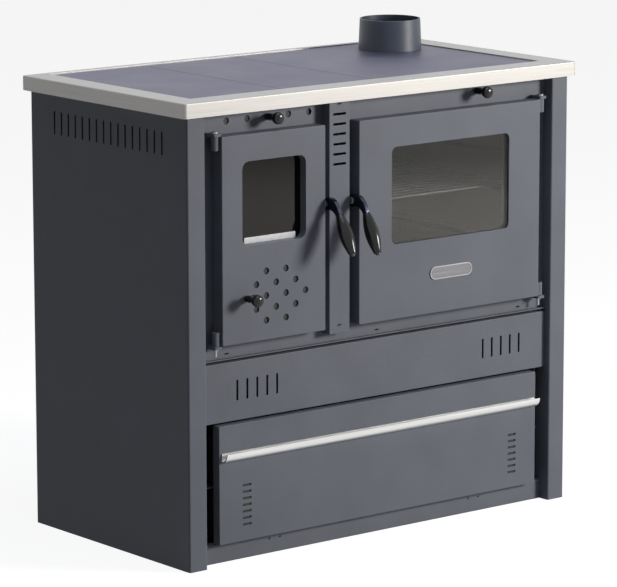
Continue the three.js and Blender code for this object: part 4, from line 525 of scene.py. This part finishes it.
SHEET_PIECES = [
    "side_panel_left",
    "side_panel_right",
    "plinth",
    "base_tray",
    "front_plate",
    "middle_strip",
    "band_panel",
    "hob_frame",
    "fire_door_skin",
    "oven_door_skin",
    "drawer_front",
    "drawer_rail_handle",
    "flue_collar",
    "oven_box",
    "oven_rack",
    "fire_hinge_pin_top",
    "fire_hinge_pin_bottom",
    "oven_hinge_pin_top",
    "oven_hinge_pin_bottom",
    "fire_latch_pivot",
    "oven_latch_pivot",
    "fire_keeper_peg",
    "oven_keeper_peg",
]
for node in SHEET_PIECES:
    finished(node)

BLOCK_PIECES = {
    "hob_plate_left": 0.5,
    "hob_plate_middle": 0.5,
    "hob_plate_right": 0.5,
    "firebrick_left": 1.5,
    "firebrick_right": 1.5,
    "firebrick_back": 1.5,
    "fire_glass_ledge": 0.4,
    "log_guard": 0.6,
    "fire_latch_lever": 1.2,
    "oven_latch_lever": 1.2,
    "oven_door_badge": 0.25,
    "oven_door_glass": 0.6,
    "fire_door_glass": 0.6,
}
for node, bevel_mm in BLOCK_PIECES.items():
    finished(node, bevel_mm)
print(len(SHEET_PIECES) + len(BLOCK_PIECES), "pieces finished in place of plain ones")

# %% [markdown]
# ## Turned knobs
#
# The three knobs are moulded in one piece: a foot, a slim neck and a round head
# that fingers close behind. A lathe gives such a form, and so does a circle that
# is extruded a step and resized to the next radius, again and again.


# %% A turned piece
def turned(base, axis, profile, sides=40):
    """profile is (distance along the axis, radius) in mm, from the base outwards."""
    put_down()
    axis = Vector(axis).normalized()
    base = Vector(base)
    at, radius = profile[0]
    bpy.ops.mesh.primitive_circle_add(
        vertices=sides,
        radius=radius * MM,
        fill_type="NGON",
        location=base + axis * at * MM,
        rotation=axis.to_track_quat("Z", "Y").to_euler(),
    )
    piece = bpy.context.object
    edit(piece)
    for next_at, next_radius in profile[1:]:
        bpy.ops.mesh.extrude_region_move(
            TRANSFORM_OT_translate={"value": axis * (next_at - at) * MM}
        )
        size = next_radius / radius
        bpy.ops.transform.resize(
            value=(size, size, size), center_override=base + axis * next_at * MM
        )
        at, radius = next_at, next_radius
    bpy.ops.mesh.select_all(action="SELECT")
    bpy.ops.mesh.normals_make_consistent(inside=False)
    put_down()
    rounded_look(piece)
    return piece


def middle(node):
    low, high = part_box(node)
    return (low + high) / 2


KNOB_PROFILE = [
    *((0, 5.4), (0.5, 5.8), (4, 6.4), (9, 6.6), (14, 6.2), (18, 6.0), (20, 6.5), (22, 7.4)),
    *((24.5, 8.8), (27, 9.9), (29, 10.6), (31, 11), (32.5, 11.1), (34, 11), (35.5, 10.6)),
    *((37, 9.9), (38.2, 8.8), (39, 7.6), (39.6, 6.2), (40, 4.5), (40.25, 2.4), (40.3, 0.6)),
]
KNOB_HEIGHT = KNOB_PROFILE[-1][0]
for node in ("primary_air_knob", "secondary_air_knob", "flue_damper_knob"):
    low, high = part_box(node)
    centre = middle(node)
    seat = low.y + KNOB_HEIGHT * MM
    knob = turned((centre.x, seat, centre.z), (0, -1, 0), KNOB_PROFILE)
    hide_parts(node)
    fasten(knob, node + "_turned", body_of[node], bakelite)
    print(node, "has its seat", round((high.y - seat) / MM, 1), "mm before the frame's stem end")

# %% [markdown]
# ## Grips of the latches
#
# Each grip is a swelling bakelite barrel on a steel tang, shut at its lower end
# by a cap nut. It hangs from the end of its lever at about 30 degrees from upright,
# the oven's a little less because its lever droops.

# %% Barrel and cap nut
GRIP_LENGTH, END_RADIUS, SWELL, GRIP_STEPS = 78, 6.5, 6.6, 24
swelling = [
    (GRIP_LENGTH * k / GRIP_STEPS, END_RADIUS + SWELL * math.sin(math.pi * k / GRIP_STEPS))
    for k in range(1, GRIP_STEPS)
]
BARREL = [(0.4, 5.7), (0.9, END_RADIUS), *swelling, (77.2, END_RADIUS), (77.8, 5.7)]
CAP_NUT = [(0, 4.2), (1.6, 4.2), (2.5, 3.7), (3.0, 2.6), (3.2, 1.0)]
NUT_SUNK = 0.1
GRIPS = {  # upper end in mm, degrees from upright
    "fire_latch": (Vector((-138, -277.4, 622.5)), 29.8),
    "oven_latch": (Vector((-74, -276.06, 619.46)), 25.3),
}
for body, (top, tilt) in GRIPS.items():
    down = Vector((0, -math.sin(math.radians(tilt)), -math.cos(math.radians(tilt))))
    barrel = turned(top * MM, down, BARREL)
    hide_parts(body + "_grip")
    fasten(barrel, body + "_grip_barrel", body, bakelite)
    nut = turned((top + down * (GRIP_LENGTH - NUT_SUNK)) * MM, down, CAP_NUT, 24)
    fasten(nut, body + "_cap_nut", body, sky_tinted_steel)

# %% [markdown]
# ## Guides of the oven rack
#
# A dark steel bar lies along each ledge of the oven, so that the rack can't lift
# when it is drawn out. They show through the window as slanting bars.

# %% Guide bars
oven_low, oven_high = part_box("oven_box")
WALL_IN, BAR_GAP, BAR_RADIUS = 15, 0.5, 3.2
BAR_FRONT, BAR_LENGTH = -204, 369
BAR = [(0, 2.6), (0.6, BAR_RADIUS), (BAR_LENGTH, BAR_RADIUS)]
bar_in = WALL_IN + BAR_RADIUS + BAR_GAP
for level, z in (("low", 508), ("middle", 608), ("high", 678)):
    for side, x in (("left", oven_low.x / MM + bar_in), ("right", oven_high.x / MM - bar_in)):
        bar = turned(Vector((x, BAR_FRONT, z)) * MM, (0, 1, 0), BAR, 16)
        fasten(bar, f"rack_guide_{side}_{level}", "cooker", cast_iron)

# %% [markdown]
# ## Badge of the oven door
#
# The oval plate has a bright rim and a sunk field, brushed darker. It is left
# bare, and a rivet at each end holds it.

# %% Badge field
badge = bpy.data.objects["oven_door_badge_finished"]
badge_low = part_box("oven_door_badge")[0]
BADGE_RIM_HEIGHT = 0.6
field_y = badge_low.y + BADGE_RIM_HEIGHT * MM
badge.data.materials.append(badge_field)
for face in badge.data.polygons:
    if face.normal.y < -0.99 and abs(face.center.y - field_y) < 0.05 * MM:
        face.material_index = 1

# %% [markdown]
# ## Screws and rivets
#
# Small fasteners are modelled once and copied to their places: a pan-head screw
# with a cross slot, the domed rivets of the plinth and the small ones of the badge.


# %% Fasteners
def placed_copy(pattern, name, shift, body, metal):
    piece = bpy.data.objects.new(name, pattern.data.copy())
    bpy.context.scene.collection.objects.link(piece)
    piece.location = shift
    fasten(piece, name, body, metal)


def discard(pattern):
    bpy.data.objects.remove(pattern, do_unlink=True)


FORWARD = (0, -1, 0)
SLOT_TURN = 0.4  # radians, as a screw happens to stop


def screw_pattern(radius):
    """A pan head that faces along -Y, its foot at the origin, with a sunk cross."""
    profile = [(0, radius), (0.6, radius), (1.3, radius * 0.86), (1.7, radius * 0.5)]
    head = turned((0, 0, 0), FORWARD, profile, 24)
    for turn in (SLOT_TURN, SLOT_TURN + math.pi / 2):
        put_down()
        bpy.ops.mesh.primitive_cube_add(
            size=1, location=(0, -1.6 * MM, 0), rotation=(0, turn, 0)
        )
        cutter = bpy.context.object
        cutter.scale = (radius * MM, 1.2 * MM, 0.7 * MM)
        take(head)
        groove = head.modifiers.new("groove", "BOOLEAN")
        groove.object = cutter
        bpy.ops.object.modifier_apply(modifier=groove.name)
        discard(cutter)
    rounded_look(head)
    return head


screw = screw_pattern(4.2)
strip_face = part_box("middle_strip")[0].y / MM
plate_face = -218.3
SCREWS = {
    "strip_screw_top": (-107, strip_face, 818),
    "strip_screw_bottom": (-107, strip_face, 410.5),
    "ledge_screw_left": (-350, plate_face, 385),
    "ledge_screw_middle": (0, plate_face, 385),
    "ledge_screw_right": (350, plate_face, 385),
}
for name, place in SCREWS.items():
    placed_copy(screw, name, Vector(place) * MM, "cooker", dark_steel_and_shade)
discard(screw)

RIVET = [(0, 3.4), (0.5, 3.3), (1.1, 2.6), (1.5, 1.5), (1.6, 0.4)]
PLINTH_RIVETS_X, PLINTH_RIVETS_Z = (-252.8, -228.6, 229.1, 253.7), 28
rivet = turned((0, 0, 0), FORWARD, RIVET, 20)
plinth_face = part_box("plinth")[0].y / MM
for number, x in enumerate(PLINTH_RIVETS_X):
    place = Vector((x, plinth_face, PLINTH_RIVETS_Z)) * MM
    placed_copy(rivet, f"plinth_rivet_{number + 1}", place, "cooker", anthracite)
discard(rivet)

SMALL_RIVET = [(0, 1.9), (0.25, 1.7), (0.45, 1.1), (0.55, 0.4)]
BADGE_RIVET_OUT = 44
small_rivet = turned((0, 0, 0), FORWARD, SMALL_RIVET, 20)
badge_middle = middle("oven_door_badge")
for side, out in (("left", -BADGE_RIVET_OUT), ("right", BADGE_RIVET_OUT)):
    place = Vector((badge_middle.x + out * MM, field_y, badge_middle.z))
    placed_copy(small_rivet, "badge_rivet_" + side, place, "oven_door", stainless)
discard(small_rivet)

# %% [markdown]
# ## Room, light and camera
#
# The floor and the room are plain and pale. A large soft lamp stands to the right
# in front of the cooker, as the low light of the photograph does, so that the
# front is bright and the left side lies in its own shade. A weaker one overhead
# gives the hob its sheen.

# %% Pale floor
FLOOR_GLOW, FLOOR_GREY = 0.9, 0.3
ROOM_GLOW, ROOM_SEEN = 0.02, 1.0
WHITE = (1, 1, 1, 1)


def seen_straight(tree):
    """1 for a ray from the camera, a mirror or a pane, and 0 for one that only lights."""
    path = add(tree, "LightPath", {})
    two = add(
        tree,
        "Math",
        {0: path.outputs["Is Camera Ray"], 1: path.outputs["Is Glossy Ray"]},
        operation="ADD",
    )
    three = add(
        tree,
        "Math",
        {0: two.outputs[0], 1: path.outputs["Is Transmission Ray"]},
        operation="ADD",
        use_clamp=True,
    )
    return three.outputs[0]


put_down()
bpy.ops.mesh.primitive_plane_add(size=40)
floor = bpy.context.object
floor.name = "floor"
pale = bpy.data.materials.new("pale_floor")
tree = emptied(pale)
glow = add(tree, "Math", {0: seen_straight(tree), 1: FLOOR_GLOW}, operation="MULTIPLY")
own_light = add(tree, "Emission", {"Color": WHITE, "Strength": glow.outputs[0]})
matt = add(tree, "BsdfDiffuse", {"Color": (FLOOR_GREY, FLOOR_GREY, FLOOR_GREY, 1)})
both = add(tree, "AddShader", {0: own_light.outputs[0], 1: matt.outputs[0]})
add(tree, "OutputMaterial", {"Surface": both.outputs[0]})
floor.data.materials.append(pale)

# %% Room light
world = bpy.data.worlds.new("pale_room")
bpy.context.scene.world = world
tree = emptied(world)
glow = add(tree, "MapRange", {0: seen_straight(tree), 3: ROOM_GLOW, 4: ROOM_SEEN})
room = add(tree, "Background", {"Color": WHITE, "Strength": glow.outputs[0]})
add(tree, "OutputWorld", {"Surface": room.outputs[0]})


# %% Lamps
COOKER_MIDDLE = Vector((0, 0, 0.45))


def outwards(azimuth, elevation):
    """The direction from the cooker to a lamp or to the camera, from two angles in radians."""
    return Vector(
        (
            math.sin(azimuth) * math.cos(elevation),
            -math.cos(azimuth) * math.cos(elevation),
            math.sin(elevation),
        )
    )


def lamp(name, azimuth, elevation, distance, size, power, colour):
    light = bpy.data.lights.new(name, "AREA")
    light.shape = "DISK"
    light.size = size
    light.energy = power
    light.color = linear(colour)[:3]
    stand = bpy.data.objects.new(name, light)
    bpy.context.scene.collection.objects.link(stand)
    out = outwards(math.radians(azimuth), math.radians(elevation))
    stand.location = COOKER_MIDDLE + out * distance
    stand.rotation_euler = out.to_track_quat("Z", "Y").to_euler()


lamp("low_front_light", 38, 15, 4.5, 1.2, 158, "#fffaf5")
lamp("overhead_light", -20, 80, 3.2, 2.2, 34, "#e6eeff")

# %% Colours as written
bpy.context.scene.view_settings.view_transform = "Standard"

# %% Camera
FOCAL_PIXELS, FRAME_PIXELS, SENSOR = 3782.75, 617, 36
camera = bpy.data.objects.new("camera", bpy.data.cameras.new("camera"))
bpy.context.scene.collection.objects.link(camera)
bpy.context.scene.camera = camera
camera.data.sensor_width = SENSOR
camera.data.lens = FOCAL_PIXELS * SENSOR / FRAME_PIXELS
camera.data.clip_end = 60
azimuth, elevation, roll = (math.radians(v) for v in (-38.764, 10.819, -0.071))
back = outwards(azimuth, elevation)
camera.location = (-4.39655, -5.49165, 1.76493)
camera.rotation_euler = ((-back).to_track_quat("-Z", "Y")).to_euler()
camera.rotation_euler.rotate_axis("Z", roll)
